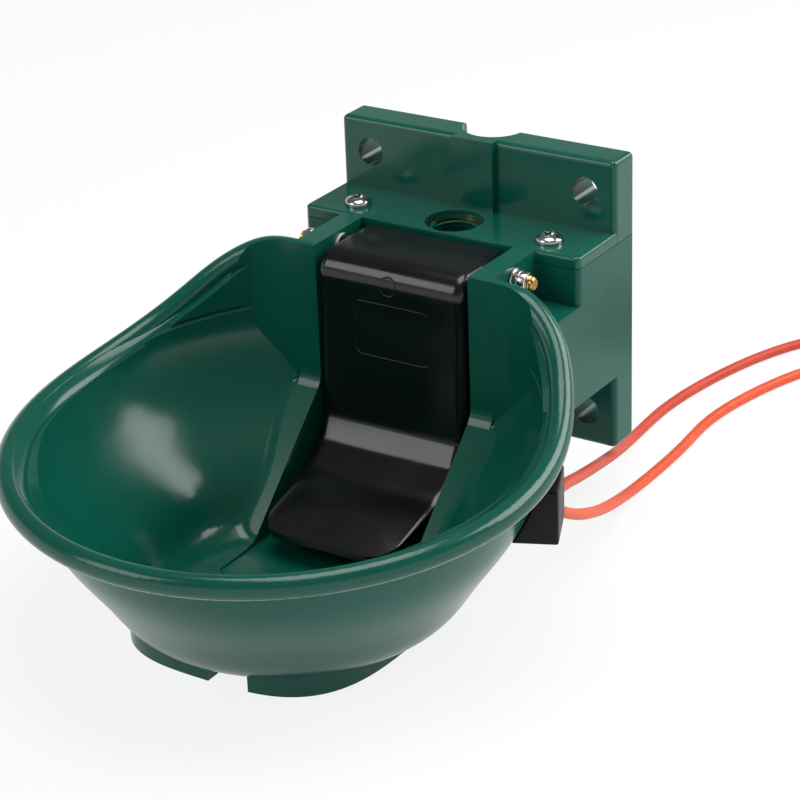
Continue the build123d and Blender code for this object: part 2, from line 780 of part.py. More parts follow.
# Deck screws with a cross recess, and the threaded sleeves they run into
with BuildPart() as deck_screws:
    for side in (-1, 1):
        with Locations((side * screw_pitch_x / 2, screw_y, deck_top)):
            Cylinder(screw_head_diameter / 2, screw_head_height, align=(Align.CENTER, Align.CENTER, Align.MIN))
    fillet(deck_screws.faces().sort_by(Axis.Z)[-2:].edges(), screw_head_height - 1)
    for side in (-1, 1):
        with Locations((side * screw_pitch_x / 2, screw_y, deck_top)):
            Cylinder(screw_shank_diameter / 2, screw_length, align=(Align.CENTER, Align.CENTER, Align.MAX))
        with Locations((side * screw_pitch_x / 2, screw_y, deck_top + screw_head_height)):
            Box(screw_cross_length, screw_cross_width, 2 * screw_cross_depth, mode=Mode.SUBTRACT)
            Box(screw_cross_width, screw_cross_length, 2 * screw_cross_depth, mode=Mode.SUBTRACT)
deck_screws.part.label = "deck_screws"
export_step(deck_screws.part, "parts/deck_screws.step")

with BuildPart() as screw_sleeves:
    for side in (-1, 1):
        with Locations((side * screw_pitch_x / 2, screw_y, housing_top)):
            Cylinder(
                insert_sleeve_diameter / 2,
                insert_sleeve_length,
                align=(Align.CENTER, Align.CENTER, Align.MAX),
            )
            Cylinder(screw_shank_diameter / 2 + pin_clearance, 2 * insert_sleeve_length + 2, mode=Mode.SUBTRACT)
screw_sleeves.part.label = "screw_sleeves"
export_step(screw_sleeves.part, "parts/screw_sleeves.step")


def section_radius(section, z):
    """Radius of a bowl section at height z, on straight lines between its points."""
    for (r0, z0, _), (r1, z1, _) in zip(section, section[1:]):
        if z1 <= z <= z0:
            return r0 + (r1 - r0) * (z - z0) / (z1 - z0)
    return section[-1][0]


def around_bowl(degrees):
    """The upright plane through the bowl's axis at this angle from +X."""
    angle = math.radians(degrees)
    outward = (math.cos(angle), math.sin(angle), 0)
    across = (math.sin(angle), -math.cos(angle), 0)
    return Plane(origin=(0, bowl_centre_y, 0), x_dir=outward, z_dir=across)


# Heating wire: open rings between the two mouldings
with BuildPart() as heating_wire:
    for i in range(heater_turns):
        ring_z = heater_low_z + i * heater_pitch
        ring_radius = section_radius(shell_section, ring_z) - heater_inset
        with BuildSketch(around_bowl(heater_start_angle)):
            with Locations((ring_radius, ring_z)):
                Circle(heater_wire / 2)
        revolve(axis=bowl_axis, revolution_arc=heater_arc)
heating_wire.part.label = "heating_wire"
export_step(heating_wire.part, "parts/heating_wire.step")

# Cable gland on the shell, behind the right side of the rim
gland_plane = around_bowl(gland_angle)
with BuildPart() as cable_gland:
    with BuildSketch(gland_plane.offset(-gland_width / 2)):
        with Locations(((gland_inner_reach + gland_reach) / 2, (gland_top + gland_bottom) / 2)):
            Rectangle(gland_reach - gland_inner_reach, gland_top - gland_bottom)
    extrude(amount=gland_width)
    add(bowl_body(shell_section, -gland_gap, cut_height), mode=Mode.SUBTRACT)
cable_gland.part.label = "cable_gland"
export_step(cable_gland.part, "parts/cable_gland.step")

# Supply cable of the heating and the cable that runs on to the pipe; their unseen length lies in coils
gland_turn = math.radians(gland_angle)
gland_outward = Vector(math.cos(gland_turn), math.sin(gland_turn), 0)
gland_back = Vector(-math.sin(gland_turn), math.cos(gland_turn), 0)
floor_line = floor_z + cable_diameter / 2


def gland_exit(reach, z):
    """Where a cable leaves the back face of the gland."""
    return Vector(0, bowl_centre_y, z) + gland_outward * reach + gland_back * (gland_width / 2)


def cable_bends(points):
    """One bend radius for each corner, as large as the shorter neighbouring run allows."""
    bends = []
    for before, corner, after in zip(points, points[1:], points[2:]):
        run_in = corner - before
        run_out = after - corner
        half_turn = math.radians(run_in.get_angle(run_out)) / 2
        bends.append(0.45 * min(run_in.length, run_out.length) / math.tan(half_turn))
    return bends


def cable_tube(points):
    """A cable through these points, with every corner rounded."""
    bends = cable_bends(points)
    with BuildPart() as body:
        with BuildLine() as line:
            FilletPolyline(*points, radius=bends)
        route = line.wire()
        with BuildSketch(Plane(route @ 0, z_dir=route % 0)):
            Circle(cable_diameter / 2)
        sweep()
    section = math.pi * cable_diameter**2 / 4
    print("cable", round(route.length, 1), "bends", [round(bend) for bend in bends])
    print("  volume share", round(body.part.volume / (section * route.length), 4))
    return body.part


def coil(centre, diameter, bundle):
    """A flat round coil as one closed ring."""
    with BuildPart() as body:
        with Locations((centre[0], centre[1], coil_z)):
            Torus(diameter / 2, bundle / 2)
    return body.part


def coil_ties(centre):
    """Two narrow bands round the coil's bundle, worn flat where the coil rests on them."""
    with BuildPart() as body:
        for degrees in coil_tie_angles:
            turn = math.radians(degrees)
            outward = (math.cos(turn), math.sin(turn), 0)
            across = (math.sin(turn), -math.cos(turn), 0)
            with BuildSketch(Plane(origin=(*centre, coil_z), x_dir=outward, z_dir=across)):
                with Locations((coil_diameter / 2, 0)):
                    Circle(coil_bundle / 2 + coil_tie_wall)
                    Circle(coil_bundle / 2 + coil_tie_gap, mode=Mode.SUBTRACT)
            revolve(axis=Axis((*centre, coil_z), (0, 0, 1)), revolution_arc=coil_tie_arc)
    return body.part & stack(4 * cut_height, [(0, 4 * cut_height, floor_z, 0)])


coil_z = floor_z + coil_bundle / 2 + coil_tie_wall - coil_tie_flat
feed_points = [
    gland_exit(feed_reach, feed_exit_z),
    Vector(88.0, -98.0, -46.0),
    Vector(76.9, -62.3, -60.0),
    Vector(67.0, -26.0, -72.0),
    Vector(57.5, 9.0, -83.0),
    Vector(48.5, 41.0, floor_line),
    Vector(46.3, 75.4, floor_line),
    Vector(50.0, 110.0, floor_line),
    Vector(58.5, 147.0, floor_line),
    Vector(74.0, 179.0, floor_line),
    Vector(88.0, 206.0, floor_line),
    Vector(feed_coil_centre[0] - coil_diameter / 2, feed_coil_centre[1] - 4, floor_line),
]
trace_points = [
    gland_exit(trace_reach, trace_exit_z),
    Vector(90.5, -97.0, -60.0),
    Vector(84.5, -62.0, -76.0),
    Vector(77.0, -28.0, -87.5),
    Vector(74.6, 3.0, floor_line),
    Vector(74.2, 39.0, floor_line),
    Vector(70.6, 74.0, floor_line),
    Vector(76.0, 110.0, floor_line),
    Vector(86.0, 143.0, floor_line),
    Vector(96.0, 158.0, floor_line),
    Vector(108.0, 165.0, floor_line),
    Vector(trace_coil_centre[0] - coil_diameter / 2, trace_coil_centre[1] + 8, floor_line),
]

with BuildPart() as feed_cable:
    add(cable_tube(feed_points))
    add(coil(feed_coil_centre, coil_diameter, coil_bundle), mode=Mode.SUBTRACT)
    add(cable_gland.part, mode=Mode.SUBTRACT)
feed_cable.part.label = "feed_cable"
export_step(feed_cable.part, "parts/feed_cable.step")

with BuildPart() as feed_coil:
    add(coil(feed_coil_centre, coil_diameter, coil_bundle))
feed_coil.part.label = "feed_coil"
export_step(feed_coil.part, "parts/feed_coil.step")

with BuildPart() as feed_coil_ties:
    add(coil_ties(feed_coil_centre))
feed_coil_ties.part.label = "feed_coil_ties"
export_step(feed_coil_ties.part, "parts/feed_coil_ties.step")

with BuildPart() as trace_cable:
    add(cable_tube(trace_points))
    add(coil(trace_coil_centre, coil_diameter, coil_bundle), mode=Mode.SUBTRACT)
    add(cable_gland.part, mode=Mode.SUBTRACT)
trace_cable.part.label = "trace_cable"
export_step(trace_cable.part, "parts/trace_cable.step")

with BuildPart() as trace_coil:
    add(coil(trace_coil_centre, coil_diameter, coil_bundle))
trace_coil.part.label = "trace_coil"
export_step(trace_coil.part, "parts/trace_coil.step")

with BuildPart() as trace_coil_ties:
    add(coil_ties(trace_coil_centre))
trace_coil_ties.part.label = "trace_coil_ties"
export_step(trace_coil_ties.part, "parts/trace_coil_ties.step")

# Free end of the supply cable: a short tail
feed_tail_x = feed_coil_centre[0] + coil_diameter / 2
feed_tail_y = feed_coil_centre[1]
with BuildPart() as feed_tail:
    add(along_y(cable_diameter / 2, feed_tail_y, feed_tail_y + tail_length, x=feed_tail_x, z=floor_line))
    add(coil(feed_coil_centre, coil_diameter, coil_bundle), mode=Mode.SUBTRACT)
feed_tail.part.label = "feed_tail"
export_step(feed_tail.part, "parts/feed_tail.step")

# Two cores with crimped ferrules
with BuildPart() as feed_ferrules:
    for side in (-1, 1):
        core_x = feed_tail_x + side * core_spacing / 2
        core_start = feed_tail_y + tail_length
        core_end = core_start + core_length
        add(along_y(core_diameter / 2, core_start, core_end, x=core_x, z=floor_line))
        add(along_y(ferrule_diameter / 2, core_end, core_end + ferrule_length, x=core_x, z=floor_line))
feed_ferrules.part.label = "feed_ferrules"
export_step(feed_ferrules.part, "parts/feed_ferrules.step")

# Free end of the pipe cable: a tail, closed by a shrunk cap
trace_tail_x = trace_coil_centre[0] + coil_diameter / 2
trace_tail_y = trace_coil_centre[1]
with BuildPart() as trace_tail:
    add(along_y(cable_diameter / 2, trace_tail_y - tail_length, trace_tail_y, x=trace_tail_x, z=cap_line))
    add(coil(trace_coil_centre, coil_diameter, coil_bundle), mode=Mode.SUBTRACT)
trace_tail.part.label = "trace_tail"
export_step(trace_tail.part, "parts/trace_tail.step")

with BuildPart() as trace_cap:
    cap_back_y = trace_tail_y - tail_length
    add(along_y(cap_diameter / 2, cap_back_y - cap_length, cap_back_y, x=trace_tail_x, z=cap_line))
    fillet(trace_cap.faces().sort_by(Axis.Y)[0].edges(), cap_diameter / 3)
trace_cap.part.label = "trace_cap"
export_step(trace_cap.part, "parts/trace_cap.step")
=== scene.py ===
import bmesh
import bpy
import json
import math
from mathutils import Matrix, Vector


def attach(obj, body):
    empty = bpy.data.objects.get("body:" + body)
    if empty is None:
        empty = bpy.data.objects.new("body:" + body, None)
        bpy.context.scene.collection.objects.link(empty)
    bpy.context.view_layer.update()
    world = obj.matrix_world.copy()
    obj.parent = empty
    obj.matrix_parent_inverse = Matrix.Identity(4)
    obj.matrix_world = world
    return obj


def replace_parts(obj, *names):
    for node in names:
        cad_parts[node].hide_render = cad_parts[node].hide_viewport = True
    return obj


# Livestock drinking bowl, dressed for rendering. Lengths are metres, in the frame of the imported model.
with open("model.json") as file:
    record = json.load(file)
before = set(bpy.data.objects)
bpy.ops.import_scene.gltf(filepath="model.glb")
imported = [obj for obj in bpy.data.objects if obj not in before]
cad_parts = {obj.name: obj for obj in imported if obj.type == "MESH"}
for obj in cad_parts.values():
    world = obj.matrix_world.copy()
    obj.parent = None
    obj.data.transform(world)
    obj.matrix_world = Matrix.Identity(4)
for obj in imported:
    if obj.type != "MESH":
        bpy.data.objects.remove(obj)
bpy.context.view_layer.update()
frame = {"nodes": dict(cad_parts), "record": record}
nodes = frame["nodes"]
print("stage: frame loaded,", len(nodes), "nodes")

mm = 0.001


# Small helpers for node trees

def link(tree, source, target):
    tree.links.new(source, target)


def makeNode(tree, kind, **settings):
    made = tree.nodes.new(kind)
    for key, value in settings.items():
        setattr(made, key, value)
    return made


def mathNode(tree, operation, first, second=None):
    made = makeNode(tree, "ShaderNodeMath", operation=operation)
    for slot, value in zip(made.inputs, (first, second)):
        if value is None:
            continue
        if isinstance(value, (int, float)):
            slot.default_value = value
        else:
            link(tree, value, slot)
    return made.outputs[0]


def newGroup(name, inputs, outputs):
    group = bpy.data.node_groups.new(name, "ShaderNodeTree")
    for label, kind, value in inputs:
        socket = group.interface.new_socket(label, in_out="INPUT", socket_type=kind)
        if value is not None:
            socket.default_value = value
    for label, kind in outputs:
        group.interface.new_socket(label, in_out="OUTPUT", socket_type=kind)
    start = makeNode(group, "NodeGroupInput")
    end = makeNode(group, "NodeGroupOutput")
    return group, start, end


# Moulded surface: slow tone changes, fine pimples and dull patches where hands and water have been
def makeMouldGroup():
    group, start, end = newGroup(
        "mouldedSurface",
        [
            ("Vector", "NodeSocketVector", None),
            ("Grain Scale", "NodeSocketFloat", 900.0),
            ("Patch Scale", "NodeSocketFloat", 14.0),
            ("Dull", "NodeSocketFloat", 0.3),
            ("Gloss", "NodeSocketFloat", 0.15),
        ],
        [("Tone", "NodeSocketFloat"), ("Roughness", "NodeSocketFloat"), ("Height", "NodeSocketFloat")],
    )
    patches = makeNode(group, "ShaderNodeTexNoise")
    patches.inputs["Detail"].default_value = 3.0
    patches.inputs["Roughness"].default_value = 0.55
    link(group, start.outputs["Vector"], patches.inputs["Vector"])
    link(group, start.outputs["Patch Scale"], patches.inputs["Scale"])
    grain = makeNode(group, "ShaderNodeTexNoise")
    grain.inputs["Detail"].default_value = 2.0
    link(group, start.outputs["Vector"], grain.inputs["Vector"])
    link(group, start.outputs["Grain Scale"], grain.inputs["Scale"])
    spread = makeNode(group, "ShaderNodeMapRange")
    spread.inputs["From Min"].default_value = 0.35
    spread.inputs["From Max"].default_value = 0.7
    link(group, patches.outputs["Fac"], spread.inputs["Value"])
    link(group, start.outputs["Gloss"], spread.inputs["To Min"])
    link(group, start.outputs["Dull"], spread.inputs["To Max"])
    link(group, patches.outputs["Fac"], end.inputs["Tone"])
    link(group, spread.outputs["Result"], end.inputs["Roughness"])
    link(group, grain.outputs["Fac"], end.inputs["Height"])
    return group


# Machined surface: turned rings or brushing, stretched along one axis, and small stains
def makeMachinedGroup():
    group, start, end = newGroup(
        "machinedSurface",
        [
            ("Vector", "NodeSocketVector", None),
            ("Stretch", "NodeSocketVector", (1.0, 1.0, 1.0)),
            ("Line Scale", "NodeSocketFloat", 2500.0),
            ("Stain Scale", "NodeSocketFloat", 120.0),
            ("Dull", "NodeSocketFloat", 0.4),
            ("Gloss", "NodeSocketFloat", 0.2),
        ],
        [("Tone", "NodeSocketFloat"), ("Roughness", "NodeSocketFloat"), ("Height", "NodeSocketFloat")],
    )
    stretched = makeNode(group, "ShaderNodeVectorMath", operation="MULTIPLY")
    link(group, start.outputs["Vector"], stretched.inputs[0])
    link(group, start.outputs["Stretch"], stretched.inputs[1])
    lines = makeNode(group, "ShaderNodeTexNoise")
    link(group, stretched.outputs["Vector"], lines.inputs["Vector"])
    link(group, start.outputs["Line Scale"], lines.inputs["Scale"])
    stains = makeNode(group, "ShaderNodeTexNoise")
    stains.inputs["Detail"].default_value = 4.0
    link(group, start.outputs["Vector"], stains.inputs["Vector"])
    link(group, start.outputs["Stain Scale"], stains.inputs["Scale"])
    spread = makeNode(group, "ShaderNodeMapRange")
    spread.inputs["From Min"].default_value = 0.4
    spread.inputs["From Max"].default_value = 0.75
    link(group, stains.outputs["Fac"], spread.inputs["Value"])
    link(group, start.outputs["Gloss"], spread.inputs["To Min"])
    link(group, start.outputs["Dull"], spread.inputs["To Max"])
    link(group, stains.outputs["Fac"], end.inputs["Tone"])
    link(group, spread.outputs["Result"], end.inputs["Roughness"])
    link(group, lines.outputs["Fac"], end.inputs["Height"])
    return group


# Outline of a rounded rectangle or a circle, drawn as a soft line on the XZ plane
def makeOutlineGroup():
    group, start, end = newGroup(
        "softOutline",
        [
            ("Vector", "NodeSocketVector", None),
            ("Centre X", "NodeSocketFloat", 0.0),
            ("Centre Z", "NodeSocketFloat", 0.0),
            ("Half Width", "NodeSocketFloat", 0.01),
            ("Half Height", "NodeSocketFloat", 0.01),
            ("Corner", "NodeSocketFloat", 0.004),
            ("Line", "NodeSocketFloat", 0.0005),
        ],
        [("Height", "NodeSocketFloat")],
    )
    parts = makeNode(group, "ShaderNodeSeparateXYZ")
    link(group, start.outputs["Vector"], parts.inputs[0])
    reach = []
    for axis, centre, half in (("X", "Centre X", "Half Width"), ("Z", "Centre Z", "Half Height")):
        offset = mathNode(group, "SUBTRACT", parts.outputs[axis], start.outputs[centre])
        distance = mathNode(group, "ABSOLUTE", offset)
        inner = mathNode(group, "SUBTRACT", start.outputs[half], start.outputs["Corner"])
        reach.append(mathNode(group, "MAXIMUM", mathNode(group, "SUBTRACT", distance, inner), 0.0))
    squares = [mathNode(group, "MULTIPLY", value, value) for value in reach]
    length = mathNode(group, "SQRT", mathNode(group, "ADD", squares[0], squares[1]))
    fromLine = mathNode(group, "ABSOLUTE", mathNode(group, "SUBTRACT", length, start.outputs["Corner"]))
    share = mathNode(group, "DIVIDE", fromLine, start.outputs["Line"])
    height = mathNode(group, "MAXIMUM", mathNode(group, "SUBTRACT", 1.0, share), 0.0)
    link(group, height, end.inputs["Height"])
    return group


mouldGroup = makeMouldGroup()
machinedGroup = makeMachinedGroup()
outlineGroup = makeOutlineGroup()


# Starts a material: its Principled shader and object coordinates
def startMaterial(name):
    made = bpy.data.materials.new(name)
    made.use_nodes = True
    tree = made.node_tree
    shader = tree.nodes["Principled BSDF"]
    place = makeNode(tree, "ShaderNodeTexCoord").outputs["Object"]
    return made, tree, shader, place


def placeGroup(tree, group, place, values):
    made = makeNode(tree, "ShaderNodeGroup", node_tree=group)
    link(tree, place, made.inputs["Vector"])
    for key, value in values.items():
        made.inputs[key].default_value = value
    return made


def colourBetween(tree, factor, first, second):
    ramp = makeNode(tree, "ShaderNodeValToRGB")
    ramp.color_ramp.elements[0].position = 0.35
    ramp.color_ramp.elements[0].color = (*first, 1.0)
    ramp.color_ramp.elements[1].position = 0.68
    ramp.color_ramp.elements[1].color = (*second, 1.0)
    link(tree, factor, ramp.inputs["Fac"])
    return ramp.outputs["Color"]


def bumpFrom(tree, height, distance, strength=1.0):
    bump = makeNode(tree, "ShaderNodeBump")
    bump.inputs["Strength"].default_value = strength
    bump.inputs["Distance"].default_value = distance
    link(tree, height, bump.inputs["Height"])
    return bump


# Plastic, rubber and cable sheath
def plasticMaterial(name, look):
    made, tree, shader, place = startMaterial(name)
    surface = placeGroup(tree, mouldGroup, place, {
        "Grain Scale": look["grainScale"],
        "Patch Scale": look["patchScale"],
        "Dull": look["dull"],
        "Gloss": look["gloss"],
    })
    colour = colourBetween(tree, surface.outputs["Tone"], look["dark"], look["pale"])
    link(tree, colour, shader.inputs["Base Color"])
    link(tree, surface.outputs["Roughness"], shader.inputs["Roughness"])
    bump = bumpFrom(tree, surface.outputs["Height"], look["grainDepth"])
    link(tree, bump.outputs["Normal"], shader.inputs["Normal"])
    shader.inputs["Specular IOR Level"].default_value = look.get("specular", 0.5)
    return made


def metalMaterial(name, look):
    made, tree, shader, place = startMaterial(name)
    surface = placeGroup(tree, machinedGroup, place, {
        "Stretch": look["stretch"],
        "Line Scale": look["lineScale"],
        "Stain Scale": look["stainScale"],
        "Dull": look["dull"],
        "Gloss": look["gloss"],
    })
    colour = colourBetween(tree, surface.outputs["Tone"], look["dark"], look["pale"])
    link(tree, colour, shader.inputs["Base Color"])
    link(tree, surface.outputs["Roughness"], shader.inputs["Roughness"])
    bump = bumpFrom(tree, surface.outputs["Height"], look["lineDepth"])
    link(tree, bump.outputs["Normal"], shader.inputs["Normal"])
    shader.inputs["Metallic"].default_value = 1.0
    return made


bowlPlastic = {
    "dark": (0.0022, 0.080, 0.053), "pale": (0.004, 0.098, 0.066), "dull": 0.22, "gloss": 0.15,
    "grainScale": 700.0, "patchScale": 9.0, "grainDepth": 0.00002, "specular": 0.42,
}
housingPlastic = {
    "dark": (0.0022, 0.082, 0.058), "pale": (0.004, 0.100, 0.072), "dull": 0.3, "gloss": 0.2,
    "grainScale": 900.0, "patchScale": 11.0, "grainDepth": 0.00004, "specular": 0.26,
}
blackPlastic = {
    "dark": (0.0035, 0.0035, 0.004), "pale": (0.006, 0.006, 0.007), "dull": 0.22, "gloss": 0.13,
    "grainScale": 500.0, "patchScale": 24.0, "grainDepth": 0.00002, "specular": 0.5,
}
glandPlastic = {
    "dark": (0.004, 0.004, 0.0042), "pale": (0.007, 0.007, 0.0075), "dull": 0.5, "gloss": 0.38,
    "grainScale": 1500.0, "patchScale": 60.0, "grainDepth": 0.0001, "specular": 0.2,
}
sealRubber = {
    "dark": (0.012, 0.012, 0.013), "pale": (0.02, 0.02, 0.021), "dull": 0.75, "gloss": 0.55,
    "grainScale": 2500.0, "patchScale": 90.0, "grainDepth": 0.0001,
}
seatPlastic = {
    "dark": (0.50, 0.49, 0.45), "pale": (0.58, 0.57, 0.53), "dull": 0.45, "gloss": 0.3,
    "grainScale": 1800.0, "patchScale": 80.0, "grainDepth": 0.00005,
}
spacerNylon = {
    "dark": (0.62, 0.60, 0.54), "pale": (0.70, 0.69, 0.63), "dull": 0.5, "gloss": 0.35,
    "grainScale": 1800.0, "patchScale": 90.0, "grainDepth": 0.00005,
}
heaterSheath = {
    "dark": (0.30, 0.02, 0.014), "pale": (0.38, 0.03, 0.02), "dull": 0.6, "gloss": 0.45,
    "grainScale": 1500.0, "patchScale": 40.0, "grainDepth": 0.00006,
}
feedSheath = {
    "dark": (0.56, 0.062, 0.034), "pale": (0.66, 0.085, 0.048), "dull": 0.55, "gloss": 0.38,
    "grainScale": 1600.0, "patchScale": 45.0, "grainDepth": 0.00008, "specular": 0.25,
}
traceSheath = {
    "dark": (0.72, 0.090, 0.030), "pale": (0.82, 0.118, 0.042), "dull": 0.5, "gloss": 0.34,
    "grainScale": 1600.0, "patchScale": 45.0, "grainDepth": 0.00008, "specular": 0.25,
}
tieNylon = {
    "dark": (0.009, 0.009, 0.009), "pale": (0.016, 0.016, 0.016), "dull": 0.45, "gloss": 0.3,
    "grainScale": 2000.0, "patchScale": 90.0, "grainDepth": 0.00005,
}
brassLook = {
    "dark": (0.50, 0.31, 0.085), "pale": (0.66, 0.44, 0.15), "dull": 0.42, "gloss": 0.22,
    "stretch": (0.15, 1.0, 1.0), "lineScale": 2600.0, "stainScale": 160.0, "lineDepth": 0.00004,
}
nickelLook = {
    "dark": (0.52, 0.51, 0.48), "pale": (0.70, 0.69, 0.66), "dull": 0.32, "gloss": 0.14,
    "stretch": (0.2, 1.0, 1.0), "lineScale": 2200.0, "stainScale": 150.0, "lineDepth": 0.00003,
}
steelLook = {
    "dark": (0.50, 0.50, 0.50), "pale": (0.68, 0.68, 0.68), "dull": 0.28, "gloss": 0.1,
    "stretch": (1.0, 1.0, 0.2), "lineScale": 1800.0, "stainScale": 180.0, "lineDepth": 0.00002,
}
springLook = {
    "dark": (0.36, 0.36, 0.37), "pale": (0.50, 0.50, 0.51), "dull": 0.4, "gloss": 0.25,
    "stretch": (1.0, 0.3, 1.0), "lineScale": 2600.0, "stainScale": 200.0, "lineDepth": 0.00003,
}
tinLook = {
    "dark": (0.60, 0.60, 0.60), "pale": (0.74, 0.74, 0.73), "dull": 0.45, "gloss": 0.3,
    "stretch": (1.0, 0.2, 1.0), "lineScale": 3000.0, "stainScale": 260.0, "lineDepth": 0.00003,
}

# Marks that the mould left on the tongue's front: an ejector ring and the edge of a bare plate
tongueMarks = {
    "ring": {
        "Centre X": 0.0, "Centre Z": 0.0235, "Half Width": 0.0042, "Half Height": 0.0042, "Corner": 0.0042,
    },
    "plate": {
        "Centre X": 0.001, "Centre Z": 0.002, "Half Width": 0.019, "Half Height": 0.0125, "Corner": 0.004,
    },
    "line": 0.00045,
    "depth": 0.00025,
    "strength": 0.6,
}


def tongueMaterial(name, look, marks):
    made = plasticMaterial(name, look)
    tree = made.node_tree
    shader = tree.nodes["Principled BSDF"]
    place = tree.nodes["Texture Coordinate"].outputs["Object"]
    heights = []
    for key in ("ring", "plate"):
        outline = placeGroup(tree, outlineGroup, place, {**marks[key], "Line": marks["line"]})
        heights.append(outline.outputs["Height"])
    bump = bumpFrom(tree, mathNode(tree, "MAXIMUM", *heights), marks["depth"], marks["strength"])
    link(tree, shader.inputs["Normal"].links[0].from_socket, bump.inputs["Normal"])
    link(tree, bump.outputs["Normal"], shader.inputs["Normal"])
    return made


materials = {
    "bowl_green": plasticMaterial("bowlGreen", bowlPlastic),
    "housing_green": plasticMaterial("housingGreen", housingPlastic),
    "tongue_black": tongueMaterial("tongueBlack", blackPlastic, tongueMarks),
    "gland_black": plasticMaterial("glandBlack", glandPlastic),
    "seal_rubber": plasticMaterial("sealRubber", sealRubber),
    "seat_plastic": plasticMaterial("seatPlastic", seatPlastic),
    "spacer_nylon": plasticMaterial("spacerNylon", spacerNylon),
    "heater_sheath": plasticMaterial("heaterSheath", heaterSheath),
    "feed_sheath": plasticMaterial("feedSheath", feedSheath),
    "trace_sheath": plasticMaterial("traceSheath", traceSheath),
    "tie_black": plasticMaterial("tieBlack", tieNylon),
    "valve_brass": metalMaterial("valveBrass", brassLook),
    "pin_brass": metalMaterial("pinBrass", brassLook),
    "nickel_nut": metalMaterial("nickelNut", nickelLook),
    "screw_steel": metalMaterial("screwSteel", steelLook),
    "spring_steel": metalMaterial("springSteel", springLook),
    "ferrule_tin": metalMaterial("ferruleTin", tinLook),
}
for part in frame["record"]["subparts"]:
    slots = nodes[part["node"]].data.materials
    slots.clear()
    slots.append(materials[part["material_slot"]])
print("stage: materials on", len(nodes), "nodes")


# Turns a finished bmesh into a piece that rides on a body
def finishPiece(name, mesh, slotName, body="housing", smooth=35.0):
    bmesh.ops.recalc_face_normals(mesh, faces=mesh.faces)
    data = bpy.data.meshes.new(name)
    mesh.to_mesh(data)
    mesh.free()
    return placePiece(name, data, slotName, body, smooth)


def placePiece(name, data, slotName, body="housing", smooth=35.0):
    made = bpy.data.objects.new(name, data)
    bpy.context.scene.collection.objects.link(made)
    data.materials.clear()
    data.materials.append(materials[slotName])
    data.shade_smooth()
    data.set_sharp_from_angle(angle=math.radians(smooth))
    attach(made, body)
    return made


# Spins a profile of (along, radius) pairs round an axis that starts at centre
def latheInto(mesh, profile, centre, axis, steps=48):
    turn = Vector((0, 0, 1)).rotation_difference(Vector(axis)).to_matrix().to_4x4()
    place = Matrix.Translation(centre) @ turn
    rings = []
    for along, radius in profile:
        if radius < 1e-7:
            rings.append([mesh.verts.new(place @ Vector((0, 0, along)))])
            continue
        ring = []
        for i in range(steps):
            angle = 2 * math.pi * i / steps
            point = Vector((radius * math.cos(angle), radius * math.sin(angle), along))
            ring.append(mesh.verts.new(place @ point))
        rings.append(ring)
    for first, second in zip(rings, rings[1:]):
        for i in range(steps):
            j = (i + 1) % steps
            firstPair = [first[i % len(first)], first[j % len(first)]]
            secondPair = [second[j % len(second)], second[i % len(second)]]
            kept = list(dict.fromkeys(firstPair + secondPair))
            if len(kept) > 2:
                mesh.faces.new(kept)
    return rings


# Joins closed sections, one for each station, into a tube with closed ends or a closed ring
def sweepSection(mesh, stations, closed=False):
    rings = [[mesh.verts.new(point) for point in station] for station in stations]
    pairs = list(zip(rings, rings[1:]))
    if closed:
        pairs.append((rings[-1], rings[0]))
    for first, second in pairs:
        for i in range(len(first)):
            j = (i + 1) % len(first)
            mesh.faces.new((first[i], first[j], second[j], second[i]))
    if not closed:
        mesh.faces.new(rings[0])
        mesh.faces.new(list(reversed(rings[-1])))


# Geometry Nodes: one tree for a helical thread, one that sets a template on a row of points

def newGeometryTree(name, inputs):
    tree = bpy.data.node_groups.new(name, "GeometryNodeTree")
    tree.interface.new_socket("Geometry", in_out="INPUT", socket_type="NodeSocketGeometry")
    for label, kind, value in inputs:
        socket = tree.interface.new_socket(label, in_out="INPUT", socket_type=kind)
        if value is not None:
            socket.default_value = value
    tree.interface.new_socket("Geometry", in_out="OUTPUT", socket_type="NodeSocketGeometry")
    return tree, makeNode(tree, "NodeGroupInput"), makeNode(tree, "NodeGroupOutput")


def endGeometryTree(tree, geometry, start, end):
    realize = makeNode(tree, "GeometryNodeRealizeInstances")
    paint = makeNode(tree, "GeometryNodeSetMaterial")
    link(tree, geometry, realize.inputs["Geometry"])
    link(tree, realize.outputs["Geometry"], paint.inputs["Geometry"])
    link(tree, start.outputs["Material"], paint.inputs["Material"])
    link(tree, paint.outputs["Geometry"], end.inputs["Geometry"])


def makeThreadTree():
    tree, start, end = newGeometryTree("threadRidge", [
        ("Turns", "NodeSocketFloat", 6.0),
        ("Radius", "NodeSocketFloat", 0.01),
        ("Length", "NodeSocketFloat", 0.01),
        ("Ridge", "NodeSocketFloat", 0.0006),
        ("Material", "NodeSocketMaterial", None),
    ])
    spiral = makeNode(tree, "GeometryNodeCurveSpiral")
    spiral.inputs["Resolution"].default_value = 40
    ridge = makeNode(tree, "GeometryNodeCurvePrimitiveCircle")
    ridge.inputs["Resolution"].default_value = 4
    sweep = makeNode(tree, "GeometryNodeCurveToMesh")
    sweep.inputs["Fill Caps"].default_value = True
    link(tree, start.outputs["Turns"], spiral.inputs["Rotations"])
    link(tree, start.outputs["Radius"], spiral.inputs["Start Radius"])
    link(tree, start.outputs["Radius"], spiral.inputs["End Radius"])
    link(tree, start.outputs["Length"], spiral.inputs["Height"])
    link(tree, start.outputs["Ridge"], ridge.inputs["Radius"])
    link(tree, spiral.outputs["Curve"], sweep.inputs["Curve"])
    link(tree, ridge.outputs["Curve"], sweep.inputs["Profile Curve"])
    endGeometryTree(tree, sweep.outputs["Mesh"], start, end)
    return tree


